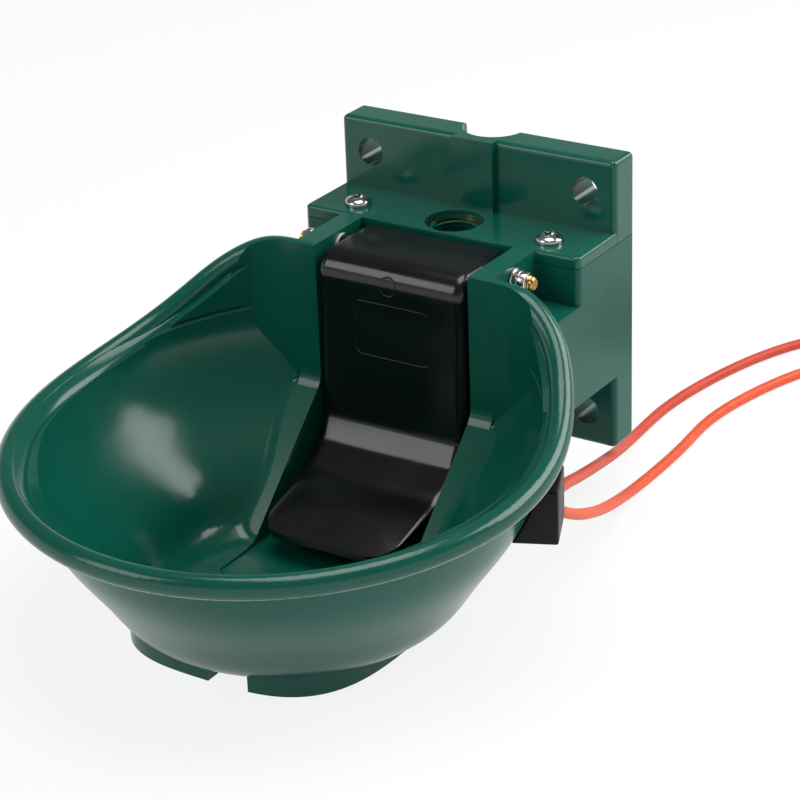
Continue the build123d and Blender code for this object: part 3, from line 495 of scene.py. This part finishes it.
def makeRowTree():
    tree, start, end = newGeometryTree("rowOfPieces", [
        ("Count", "NodeSocketInt", 2),
        ("First", "NodeSocketVector", (0.0, 0.0, 0.0)),
        ("Last", "NodeSocketVector", (0.0, 0.0, 0.0)),
        ("Template", "NodeSocketObject", None),
        ("Material", "NodeSocketMaterial", None),
    ])
    line = makeNode(tree, "GeometryNodeMeshLine", mode="END_POINTS")
    template = makeNode(tree, "GeometryNodeObjectInfo", transform_space="ORIGINAL")
    instance = makeNode(tree, "GeometryNodeInstanceOnPoints")
    link(tree, start.outputs["Count"], line.inputs["Count"])
    link(tree, start.outputs["First"], line.inputs["Start Location"])
    link(tree, start.outputs["Last"], line.inputs["Offset"])
    link(tree, start.outputs["Template"], template.inputs["Object"])
    link(tree, line.outputs["Mesh"], instance.inputs["Points"])
    link(tree, template.outputs["Geometry"], instance.inputs["Instance"])
    endGeometryTree(tree, instance.outputs["Instances"], start, end)
    return tree


# Runs a tree with these values and returns its result as a plain mesh
def meshFromTree(name, tree, values, place=None):
    carrier = bpy.data.objects.new(name + "Carrier", bpy.data.meshes.new(name + "Carrier"))
    bpy.context.scene.collection.objects.link(carrier)
    modifier = carrier.modifiers.new("tree", "NODES")
    modifier.node_group = tree
    identifiers = {item.name: item.identifier for item in tree.interface.items_tree if item.in_out == "INPUT"}
    for key, value in values.items():
        modifier[identifiers[key]] = value
    bpy.context.view_layer.update()
    graph = bpy.context.evaluated_depsgraph_get()
    data = bpy.data.meshes.new_from_object(carrier.evaluated_get(graph))
    data.name = name
    if place is not None:
        data.transform(place)
    bpy.data.objects.remove(carrier)
    return data


threadTree = makeThreadTree()
rowTree = makeRowTree()


# Deck screws: pan heads with a cross recess, on threaded shanks
deckScrew = {
    "x": 0.049, "y": -0.0378, "deck": 0.035, "headRadius": 0.006, "headHeight": 0.0036, "shankRadius": 0.003,
    "length": 0.026, "pitch": 0.0018, "recessRadius": 0.0033, "recessWidth": 0.0009, "recessDepth": 0.0022,
    "sideShare": 0.35, "crownSteps": 8, "crownAngle": 68.0,
}


# Outline of a cross with slightly rounded inner corners, from its arm length and half width
def crossOutline(reach, half):
    corners = []
    for quarter in range(4):
        turn = Matrix.Rotation(quarter * math.pi / 2, 4, "Z")
        for point in ((reach, -half), (reach, half), (1.35 * half, 1.35 * half)):
            corners.append(turn @ Vector((*point, 0)))
    return corners


def makeScrewTemplate(size):
    mesh = bmesh.new()
    radius, height = size["headRadius"], size["headHeight"]
    sideShare = size["sideShare"]
    crownEnd = math.radians(size["crownAngle"])
    crown = [(0.0, radius * 0.93), (0.0002, radius), (height * sideShare, radius)]
    for i in range(1, size["crownSteps"] + 1):
        angle = crownEnd * i / size["crownSteps"]
        share = sideShare + (1 - sideShare) * math.sin(angle) / math.sin(crownEnd)
        crown.append((height * share, radius * math.cos(angle)))
    steps = 48
    rings = latheInto(mesh, crown, (0, 0, 0), (0, 0, 1), steps)
    rim = rings[-1]
    top = crown[-1][0]
    flat = top + 0.00012
    # The flat crown is cut open by the recess, whose walls narrow towards the bottom
    upper = [
        mesh.verts.new((p.x, p.y, flat))
        for p in crossOutline(size["recessRadius"], size["recessWidth"])
    ]
    lower = [
        mesh.verts.new((p.x, p.y, flat - size["recessDepth"]))
        for p in crossOutline(size["recessRadius"] * 0.5, size["recessWidth"] * 0.55)
    ]
    edges = []
    for loop in (rim, upper):
        for i in range(len(loop)):
            first, second = loop[i], loop[(i + 1) % len(loop)]
            edges.append(mesh.edges.get((first, second)) or mesh.edges.new((first, second)))
    bmesh.ops.triangle_fill(mesh, use_beauty=True, use_dissolve=False, edges=edges)
    for i in range(len(upper)):
        j = (i + 1) % len(upper)
        mesh.faces.new((upper[i], upper[j], lower[j], lower[i]))
    mesh.faces.new(lower)
    # Shank with ridges like a thread, down to a blunt point
    shank = [(0.0, radius * 0.93), (0.0, size["shankRadius"])]
    along = 0.001
    while along < size["length"] - 0.003:
        shank += [(-along, size["shankRadius"] * 0.8), (-along - size["pitch"] * 0.5, size["shankRadius"])]
        along += size["pitch"]
    shank.append((-along, size["shankRadius"] * 0.8))
    shank.append((-size["length"], size["shankRadius"] * 0.35))
    shank.append((-size["length"], 0.0))
    latheInto(mesh, shank, (0, 0, 0), (0, 0, 1), steps)
    bmesh.ops.remove_doubles(mesh, verts=mesh.verts, dist=0.000001)
    bmesh.ops.recalc_face_normals(mesh, faces=mesh.faces)
    data = bpy.data.meshes.new("screwTemplate")
    mesh.to_mesh(data)
    mesh.free()
    template = bpy.data.objects.new("screwTemplate", data)
    bpy.context.scene.collection.objects.link(template)
    return template


screwTemplate = makeScrewTemplate(deckScrew)
screwMesh = meshFromTree("deck_screw_pair", rowTree, {
    "Count": 2,
    "First": (-deckScrew["x"], deckScrew["y"], deckScrew["deck"]),
    "Last": (deckScrew["x"], deckScrew["y"], deckScrew["deck"]),
    "Template": screwTemplate,
    "Material": materials["screw_steel"],
})
bpy.data.objects.remove(screwTemplate)
screwPair = placePiece("deck_screw_pair", screwMesh, "screw_steel", smooth=30.0)
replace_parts(screwPair, "deck_screws")
print("stage: deck screws")


# Thread inside the water port
portThread = {
    "y": -0.036, "top": 0.0318, "radius": 0.0104, "length": 0.0136, "pitch": 0.001814, "ridge": 0.001,
}
threadMesh = meshFromTree("port_thread", threadTree, {
    "Turns": portThread["length"] / portThread["pitch"],
    "Radius": portThread["radius"],
    "Length": portThread["length"],
    "Ridge": portThread["ridge"],
    "Material": materials["bowl_green"],
}, Matrix.Translation((0, portThread["y"], portThread["top"] - portThread["length"])))
placePiece("port_thread", threadMesh, "bowl_green", smooth=50.0)
print("stage: port thread")


# Hinge pin with chamfered, threaded ends, and its collar nuts with a flange and a rounded edge
hinge = {
    "y": -0.068, "z": 0.028, "pinRadius": 0.0035, "pinEnd": 0.059, "neckHalf": 0.049, "nutRadius": 0.0048,
    "nutLength": 0.0072, "flangeRadius": 0.0055, "flangeLength": 0.0012, "pitch": 0.001, "slotWidth": 0.0009,
    "slotDepth": 0.0009, "boreRadius": 0.00355,
}


def makeHingePin(size):
    mesh = bmesh.new()
    radius, end = size["pinRadius"], size["pinEnd"]
    threadStart = size["neckHalf"] - 0.002
    half = []
    along = threadStart
    while along < end - 0.0012:
        half += [(along, radius * 0.97), (along + size["pitch"] * 0.5, radius * 0.84)]
        along += size["pitch"]
    half += [(end - 0.0007, radius * 0.86), (end, radius * 0.66), (end, 0.0)]
    plainEnd = threadStart - 0.0004
    profile = [(-along, r) for along, r in reversed(half)] + [(-plainEnd, radius), (plainEnd, radius)]
    latheInto(mesh, profile + half, (0, size["y"], size["z"]), (1, 0, 0), 40)
    return finishPiece("hinge_pin_threaded", mesh, "pin_brass", smooth=25.0)


def makeCollarNut(side, size):
    mesh = bmesh.new()
    nut, flange, bore = size["nutRadius"], size["flangeRadius"], size["boreRadius"]
    thick, long = size["flangeLength"], size["nutLength"]
    profile = [
        (0.0, bore), (0.0, flange - 0.0003), (0.0002, flange), (thick - 0.0002, flange),
        (thick, flange - 0.0003),
        (thick, nut), (thick + 0.0022, nut), (thick + 0.0024, nut - 0.0003), (thick + 0.0028, nut - 0.0003),
        (thick + 0.003, nut), (long - 0.0008, nut), (long - 0.0003, nut - 0.0002), (long, nut - 0.0007),
        (long, bore + 0.0002), (long - 0.0003, bore), (0.0, bore),
    ]
    latheInto(mesh, profile, (side * size["neckHalf"], size["y"], size["z"]), (side, 0, 0), 40)
    bmesh.ops.remove_doubles(mesh, verts=mesh.verts, dist=0.000001)
    name = ("left" if side < 0 else "right") + "_collar_turned"
    return finishPiece(name, mesh, "nickel_nut", smooth=25.0)


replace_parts(makeHingePin(hinge), "hinge_pin")
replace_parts(makeCollarNut(-1, hinge), "left_collar_nut")
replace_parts(makeCollarNut(1, hinge), "right_collar_nut")
print("stage: hinge")


# Rounds the sharp edges of a CAD node in a copy that stands for it
def roundedCopy(nodeName, name, slotName, width, body="housing"):
    mesh = bmesh.new()
    mesh.from_mesh(nodes[nodeName].data)
    bmesh.ops.remove_doubles(mesh, verts=mesh.verts, dist=0.00002)
    bmesh.ops.dissolve_limit(mesh, angle_limit=math.radians(1.0), verts=mesh.verts, edges=mesh.edges)
    data = bpy.data.meshes.new(name)
    mesh.to_mesh(data)
    mesh.free()
    carrier = bpy.data.objects.new(name + "Carrier", data)
    bpy.context.scene.collection.objects.link(carrier)
    bevel = carrier.modifiers.new("round", "BEVEL")
    bevel.width = width
    bevel.segments = 3
    bevel.limit_method = "ANGLE"
    bevel.angle_limit = math.radians(40)
    bevel.use_clamp_overlap = True
    bpy.context.view_layer.update()
    graph = bpy.context.evaluated_depsgraph_get()
    rounded = bpy.data.meshes.new_from_object(carrier.evaluated_get(graph))
    rounded.name = name
    bpy.data.objects.remove(carrier)
    made = placePiece(name, rounded, slotName, body, 30.0)
    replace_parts(made, nodeName)
    return made


roundedCopy("cable_gland", "cable_gland_moulded", "gland_black", 0.003)
roundedCopy("drain_plug", "drain_plug_turned", "valve_brass", 0.0006)
roundedCopy("branch_nut", "branch_nut_turned", "nickel_nut", 0.0005)
roundedCopy("tongue", "tongue_moulded", "tongue_black", 0.0014, "tongue")
print("stage: rounded small parts")


# Rim: a slope that leads from the bead's inner side down to the wall of the bowl
rim = {
    "centreY": -0.171, "circle": 0.113, "backY": -0.0865, "corner": 0.045, "neckHalf": 0.0385,
    "frontZ": -0.021, "evenRise": 0.012, "neckRise": 0.039, "neckPower": 6.7, "stations": 220,
    "until": 0.86, "fadeOver": 0.22, "sink": 0.002,
}
# Points across and up from the bead's centre, and how much of the shelf they reach over
rimSlope = (
    (-0.0022, 0.0043, 0.0), (-0.0040, 0.0033, 0.1), (-0.0048, 0.0020, 0.45), (-0.0050, 0.0003, 0.9),
    (-0.0050, -0.0015, 1.0), (-0.0035, -0.0015, 0.0), (-0.0025, 0.0005, 0.0),
)
rimShelf = {"front": 0.0005, "side": 0.0038, "sideAt": 0.09}


def rimHeight(y):
    front = rim["centreY"] - rim["circle"]
    t = min(max((y - front) / (rim["backY"] - front), 0.0), 1.15)
    return rim["frontZ"] + rim["evenRise"] * t + rim["neckRise"] * t ** rim["neckPower"]


# Point of the bead's centre line, and the way outwards there: s runs from 0 at the front to 1 at the neck
def rimPoint(s):
    cornerY = rim["backY"] - rim["corner"]
    cornerX = math.sqrt((rim["circle"] - rim["corner"]) ** 2 - (cornerY - rim["centreY"]) ** 2)
    join = math.atan2(cornerX, rim["centreY"] - cornerY)
    lengths = (rim["circle"] * join, rim["corner"] * (math.pi - join), cornerX - rim["neckHalf"])
    run = s * sum(lengths)
    if run <= lengths[0]:
        angle, centre, radius = run / rim["circle"], Vector((0, rim["centreY"])), rim["circle"]
    elif run <= lengths[0] + lengths[1]:
        angle = join + (run - lengths[0]) / rim["corner"]
        centre, radius = Vector((cornerX, cornerY)), rim["corner"]
    else:
        return Vector((cornerX - (run - lengths[0] - lengths[1]), rim["backY"])), Vector((0, 1))
    outward = Vector((math.sin(angle), -math.cos(angle)))
    return centre + radius * outward, outward


def makeRimSlope(section):
    mesh = bmesh.new()
    stations = []
    count = rim["stations"]
    for i in range(-count, count + 1):
        s = abs(i) / count * rim["until"]
        point, outward = rimPoint(s)
        side = -1 if i < 0 else 1
        height = rimHeight(point.y)
        fade = min(1.0, (rim["until"] - s) / rim["fadeOver"])
        fade = fade * fade * (3 - 2 * fade)
        grow = min(1.0, abs(point.x) / rimShelf["sideAt"]) ** 2
        shelf = rimShelf["front"] + (rimShelf["side"] - rimShelf["front"]) * grow
        station = []
        for across, up, share in section:
            place = point + outward * (across - shelf * share * fade)
            level = height + (rimHeight(place.y) - height) * share
            station.append(Vector((side * place.x, place.y, level + up * fade - rim["sink"] * (1 - fade))))
        stations.append(station)
    sweepSection(mesh, stations)
    return finishPiece("rim_slope", mesh, "bowl_green", smooth=60.0)


makeRimSlope(rimSlope)
print("stage: rim slope")


# Cables: from the gland along the wall side, then into tied coils that lie on the floor
cableDiameter = 0.005
coilShape = {
    "radius": 0.0262, "spread": 0.005, "rise": 0.00433, "low": -0.0907, "pointsPerTurn": 16, "shift": 0.12,
}
# Places of the turns in the bundle: (steps outwards, rows up)
coilPlaces = ((1, 0), (0, 0), (-1, 0), (-1.5, 1), (-0.5, 1), (0.5, 1), (1.5, 1), (1, 2), (0, 2))
feedCable = {
    "exit": (94.75, -114.59, -40.0),
    "lead": (
        (88.0, -98.0, -46.0), (76.9, -62.3, -60.0), (67.0, -26.0, -72.0), (57.5, 9.0, -83.0),
        (48.5, 41.0, -91.5), (46.3, 75.4, -91.5), (50.0, 110.0, -91.5), (58.5, 147.0, -91.5),
        (72.0, 179.0, -91.5), (91.0, 199.0, -91.5),
    ),
    "centre": (128.0, 232.0), "startAngle": 262.0, "way": 1, "turns": 9.16, "shiftAt": 0.5,
    "tail": (
        (154.5, 222.5, -78.5), (160.5, 233.0, -76.8), (163.5, 243.0, -80.0), (161.5, 254.0, -88.0),
        (157.5, 262.5, -91.5), (155.5, 268.0, -91.5), (155.5, 274.0, -91.5),
    ),
}
traceCable = {
    "exit": (92.46, -115.60, -47.0),
    "lead": (
        (90.5, -97.0, -60.0), (84.5, -62.0, -76.0), (77.0, -28.0, -87.5), (74.6, 3.0, -91.5),
        (74.2, 39.0, -91.5), (70.6, 74.0, -91.5), (76.0, 110.0, -91.5), (86.0, 143.0, -91.5),
        (96.0, 158.0, -91.5), (108.0, 167.0, -91.5),
    ),
    "centre": (150.0, 158.0), "startAngle": 127.6, "way": -1, "turns": 9.243, "shiftAt": 0.35,
    "tail": (
        (176.5, 167.5, -78.5), (181.5, 157.0, -76.8), (183.2, 147.0, -79.5), (181.5, 136.0, -87.5),
        (178.5, 127.5, -90.5), (177.5, 122.0, -90.5), (177.5, 116.0, -90.5),
    ),
}


# Where a turn of the coil lies in the bundle, after this many turns
def bundlePlace(turn, shiftAt):
    done = turn - shiftAt
    whole = math.floor(done)
    share = min((done - whole) / coilShape["shift"], 1.0)
    share = share * share * (3 - 2 * share)
    first = coilPlaces[min(max(whole, 0), len(coilPlaces) - 1)]
    second = coilPlaces[min(max(whole + 1, 0), len(coilPlaces) - 1)]
    if whole < 0:
        return coilPlaces[0]
    return tuple(a + (b - a) * share for a, b in zip(first, second))


def coilPoints(cable):
    count = round(cable["turns"] * coilShape["pointsPerTurn"])
    points = []
    for i in range(count + 1):
        turn = cable["turns"] * i / count
        angle = math.radians(cable["startAngle"] + cable["way"] * 360 * turn)
        out, up = bundlePlace(turn, cable["shiftAt"])
        radius = coilShape["radius"] + out * coilShape["spread"]
        x = cable["centre"][0] * mm + radius * math.cos(angle)
        y = cable["centre"][1] * mm + radius * math.sin(angle)
        points.append(Vector((x, y, coilShape["low"] + up * coilShape["rise"])))
    return points


def makeCord(name, cable, slotName):
    lead = [Vector(p) * mm for p in (cable["exit"], *cable["lead"])]
    tail = [Vector(p) * mm for p in cable["tail"]]
    points = lead + coilPoints(cable) + tail
    curve = bpy.data.curves.new(name, "CURVE")
    curve.dimensions = "3D"
    spline = curve.splines.new("NURBS")
    spline.points.add(len(points) - 1)
    for target, point in zip(spline.points, points):
        target.co = (*point, 1.0)
    spline.order_u = 3
    spline.use_endpoint_u = True
    spline.resolution_u = 4
    curve.bevel_depth = cableDiameter / 2
    curve.bevel_resolution = 5
    curve.use_fill_caps = True
    curve.materials.append(materials[slotName])
    made = bpy.data.objects.new(name, curve)
    bpy.context.scene.collection.objects.link(made)
    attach(made, "housing")
    return made


# Bands that tie a coil, each with a small lock on its outer side
coilTie = {
    "angles": (60.0, 240.0), "width": 0.0048, "thickness": 0.0008, "halfWidth": 0.0103, "low": -0.0932,
    "high": -0.0794, "corner": 0.0055, "lock": (0.0045, 0.0065, 0.0028), "lockInset": 0.002,
    "lockLift": 0.0006, "lockRound": 0.0006,
}


def tieOutline(grow):
    halfWide = coilTie["halfWidth"] + grow
    halfHigh = (coilTie["high"] - coilTie["low"]) / 2 + grow
    corner = coilTie["corner"] + grow
    points = []
    for i in range(32):
        angle = 2 * math.pi * (i + 0.5) / 32
        x = math.copysign(halfWide - corner, math.cos(angle)) + corner * math.cos(angle)
        z = math.copysign(halfHigh - corner, math.sin(angle)) + corner * math.sin(angle)
        points.append((x, z))
    return points


def makeTies(name, centre):
    mesh = bmesh.new()
    middle = (coilTie["low"] + coilTie["high"]) / 2
    for degrees in coilTie["angles"]:
        turn = math.radians(degrees)
        outward = Vector((math.cos(turn), math.sin(turn), 0))
        along = Vector((-math.sin(turn), math.cos(turn), 0))
        hub = Vector((centre[0] * mm, centre[1] * mm, middle)) + outward * coilShape["radius"]
        stations = []
        for inner, outer in zip(tieOutline(0), tieOutline(coilTie["thickness"])):
            half = along * coilTie["width"] / 2
            low = hub + outward * inner[0] + Vector((0, 0, inner[1]))
            high = hub + outward * outer[0] + Vector((0, 0, outer[1]))
            stations.append([low - half, high - half * 0.9, high + half * 0.9, low + half])
        sweepSection(mesh, stations, closed=True)
        lockUp = coilTie["high"] - middle + coilTie["lockLift"]
        lockAt = hub + outward * (coilTie["halfWidth"] - coilTie["lockInset"]) + Vector((0, 0, lockUp))
        placed = Matrix((outward, along, Vector((0, 0, 1)))).transposed().to_4x4()
        box = bmesh.ops.create_cube(mesh, size=1.0)
        bmesh.ops.scale(mesh, vec=coilTie["lock"], verts=box["verts"])
        bmesh.ops.transform(mesh, matrix=Matrix.Translation(lockAt) @ placed, verts=box["verts"])
        edges = list({edge for vert in box["verts"] for edge in vert.link_edges})
        bmesh.ops.bevel(mesh, geom=edges, offset=coilTie["lockRound"], segments=2, affect="EDGES")
    return finishPiece(name, mesh, "tie_black", smooth=40.0)


# Two insulated cores with crimped ferrules
ferrule = {
    "x": 0.1555, "y": 0.274, "z": -0.0915, "spacing": 0.0026, "coreRadius": 0.0011, "coreLength": 0.012,
    "radius": 0.0012, "length": 0.008, "crimps": 5, "crimpPitch": 0.0013, "crimpFrom": 0.0012,
}


def makeFerrules(size):
    mesh = bmesh.new()
    crimps = []
    tube = size["radius"] * 0.8
    for i in range(size["crimps"]):
        along = size["coreLength"] + size["crimpFrom"] + i * size["crimpPitch"]
        crimps += [(along, tube), (along + 0.0005, tube * 0.8), (along + 0.0008, tube)]
    end = size["coreLength"] + size["length"]
    profile = [
        (0.0, 0.0), (0.0, size["coreRadius"]), (size["coreLength"] - 0.002, size["coreRadius"]),
        (size["coreLength"] - 0.0018, size["radius"]), (size["coreLength"] + 0.0008, size["radius"]),
        *crimps, (end - 0.0002, tube), (end, size["radius"] * 0.7), (end, 0.0),
    ]
    for side in (-1, 1):
        start = (size["x"] + side * size["spacing"] / 2, size["y"], size["z"])
        latheInto(mesh, profile, start, (0, 1, 0), 24)
    return finishPiece("feed_ferrules_crimped", mesh, "ferrule_tin", smooth=30.0)


# Shrunk cap: a sleeve that narrows onto the cable and is pinched shut at its end
cap = {"x": 0.1775, "y": 0.116, "z": -0.0905, "length": 0.020, "radius": 0.0034, "cable": 0.0025}


def makeCap(size):
    mesh = bmesh.new()
    profile = [(0.0, 0.0), (0.0, size["cable"] + 0.0004)]
    for i in range(1, 15):
        share = i / 14
        wrinkle = 0.00009 * math.sin(share * 60)
        bulge = math.sin(math.pi * min(share * 1.2, 1.0)) ** 0.5
        swell = size["cable"] + 0.0006 + (size["radius"] - size["cable"] - 0.0007) * bulge
        profile.append((size["length"] * share * 0.93, swell + wrinkle))
    profile.append((size["length"] * 0.975, size["radius"] * 0.7))
    profile.append((size["length"], size["radius"] * 0.35))
    profile.append((size["length"], 0.0))
    latheInto(mesh, profile, (size["x"], size["y"], size["z"]), (0, -1, 0), 32)
    return finishPiece("trace_cap_shrunk", mesh, "tie_black", smooth=50.0)


feedCord = makeCord("feed_cord", feedCable, "feed_sheath")
traceCord = makeCord("trace_cord", traceCable, "trace_sheath")
feedTies = makeTies("feed_ties", feedCable["centre"])
traceTies = makeTies("trace_ties", traceCable["centre"])
feedFerrules = makeFerrules(ferrule)
traceCap = makeCap(cap)
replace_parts(feedCord, "feed_cable", "feed_coil", "feed_tail")
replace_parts(traceCord, "trace_cable", "trace_coil", "trace_tail")
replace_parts(feedTies, "feed_coil_ties")
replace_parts(traceTies, "trace_coil_ties")
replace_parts(feedFerrules, "feed_ferrules")
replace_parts(traceCap, "trace_cap")
print("stage: cables")


# Studio: pale floor, soft lamps and the photograph's camera
studio = {
    "floorZ": -0.0941, "floorRadius": 8.0, "floorColour": (0.95, 0.95, 0.95), "floorGlow": 0.85,
    "skyLow": 1.0, "skyHigh": 0.16,
}
lamps = {
    "topLamp": {"at": (0.05, -0.05, 1.35), "size": (0.95, 0.8), "power": 11.0},
    "frontLamp": {"at": (-0.75, -1.15, 0.85), "size": (0.7, 0.7), "power": 5.0},
    "backLamp": {"at": (0.72, 0.68, 0.78), "size": (0.95, 0.75), "power": 13.0},
}
lampTarget = Vector((0.0, -0.13, -0.01))
photoCamera = {
    "turn": 33.39, "height": 24.97, "roll": -2.12, "distance": 1.1, "lens": 120.3,
    "target": (0.0, -0.15, 0.0), "aside": 0.0361, "up": -0.0057,
}


def makeFloor(settings):
    mesh = bmesh.new()
    bmesh.ops.create_circle(mesh, cap_ends=True, segments=96, radius=settings["floorRadius"])
    bmesh.ops.translate(mesh, vec=(0, 0, settings["floorZ"]), verts=mesh.verts)
    data = bpy.data.meshes.new("floor")
    mesh.to_mesh(data)
    mesh.free()
    floor = bpy.data.objects.new("floor", data)
    bpy.context.scene.collection.objects.link(floor)
    made = bpy.data.materials.new("floorPaper")
    made.use_nodes = True
    tree = made.node_tree
    tree.nodes.clear()
    output = makeNode(tree, "ShaderNodeOutputMaterial")
    paper = makeNode(tree, "ShaderNodeBsdfDiffuse")
    paper.inputs["Color"].default_value = (*settings["floorColour"], 1.0)
    glow = makeNode(tree, "ShaderNodeEmission")
    clear = makeNode(tree, "ShaderNodeBsdfTransparent")
    path = makeNode(tree, "ShaderNodeLightPath")
    seen = mathNode(tree, "MAXIMUM", path.outputs["Is Camera Ray"], path.outputs["Is Glossy Ray"])
    seen = mathNode(tree, "MAXIMUM", seen, path.outputs["Is Transmission Ray"])
    share = mathNode(tree, "MULTIPLY", seen, settings["floorGlow"])
    front = makeNode(tree, "ShaderNodeMixShader")
    link(tree, share, front.inputs[0])
    link(tree, paper.outputs[0], front.inputs[1])
    link(tree, glow.outputs[0], front.inputs[2])
    back = makeNode(tree, "ShaderNodeMixShader")
    link(tree, makeNode(tree, "ShaderNodeNewGeometry").outputs["Backfacing"], back.inputs[0])
    link(tree, front.outputs[0], back.inputs[1])
    link(tree, clear.outputs[0], back.inputs[2])
    link(tree, back.outputs[0], output.inputs["Surface"])
    data.materials.append(made)


# Sky: white at the horizon and below, and a quiet grey above
def makeSky(settings):
    world = bpy.data.worlds.new("studioSky")
    world.use_nodes = True
    tree = world.node_tree
    background = tree.nodes["Background"]
    place = makeNode(tree, "ShaderNodeTexCoord")
    parts = makeNode(tree, "ShaderNodeSeparateXYZ")
    link(tree, place.outputs["Generated"], parts.inputs[0])
    ramp = makeNode(tree, "ShaderNodeValToRGB")
    ramp.color_ramp.elements[0].position = 0.1
    ramp.color_ramp.elements[0].color = (settings["skyLow"],) * 3 + (1.0,)
    ramp.color_ramp.elements[1].position = 0.36
    ramp.color_ramp.elements[1].color = (settings["skyHigh"],) * 3 + (1.0,)
    link(tree, parts.outputs["Z"], ramp.inputs["Fac"])
    link(tree, ramp.outputs["Color"], background.inputs["Color"])
    bpy.context.scene.world = world


def makeLamp(name, settings):
    data = bpy.data.lights.new(name, "AREA")
    data.shape = "RECTANGLE"
    data.size, data.size_y = settings["size"]
    data.energy = settings["power"]
    lamp = bpy.data.objects.new(name, data)
    bpy.context.scene.collection.objects.link(lamp)
    lamp.location = settings["at"]
    lamp.rotation_mode = "QUATERNION"
    lamp.rotation_quaternion = (lampTarget - lamp.location).to_track_quat("-Z", "Y")


def makeCamera(settings):
    turn, height, roll = (math.radians(settings[key]) for key in ("turn", "height", "roll"))
    right = Vector((math.cos(turn), math.sin(turn), 0))
    level = Vector((-math.sin(turn), math.cos(turn), 0))
    upright = Vector((0, 0, 1))
    up = level * math.sin(height) + upright * math.cos(height)
    forward = level * math.cos(height) - upright * math.sin(height)
    place = Vector(settings["target"]) + right * settings["aside"] + up * settings["up"]
    rolledRight = right * math.cos(roll) + up * math.sin(roll)
    rolledUp = up * math.cos(roll) - right * math.sin(roll)
    data = bpy.data.cameras.new("photoCamera")
    data.sensor_width = 36.0
    data.lens = settings["lens"]
    data.clip_start = 0.01
    data.clip_end = 50.0
    camera = bpy.data.objects.new("photoCamera", data)
    bpy.context.scene.collection.objects.link(camera)
    turned = Matrix((rolledRight, rolledUp, -forward)).transposed().to_4x4()
    camera.matrix_world = Matrix.Translation(place - forward * settings["distance"]) @ turned
    bpy.context.scene.camera = camera


makeFloor(studio)
makeSky(studio)
for lampName, lampSettings in lamps.items():
    makeLamp(lampName, lampSettings)
makeCamera(photoCamera)
bpy.context.scene.view_settings.view_transform = "Standard"
print("stage: studio")
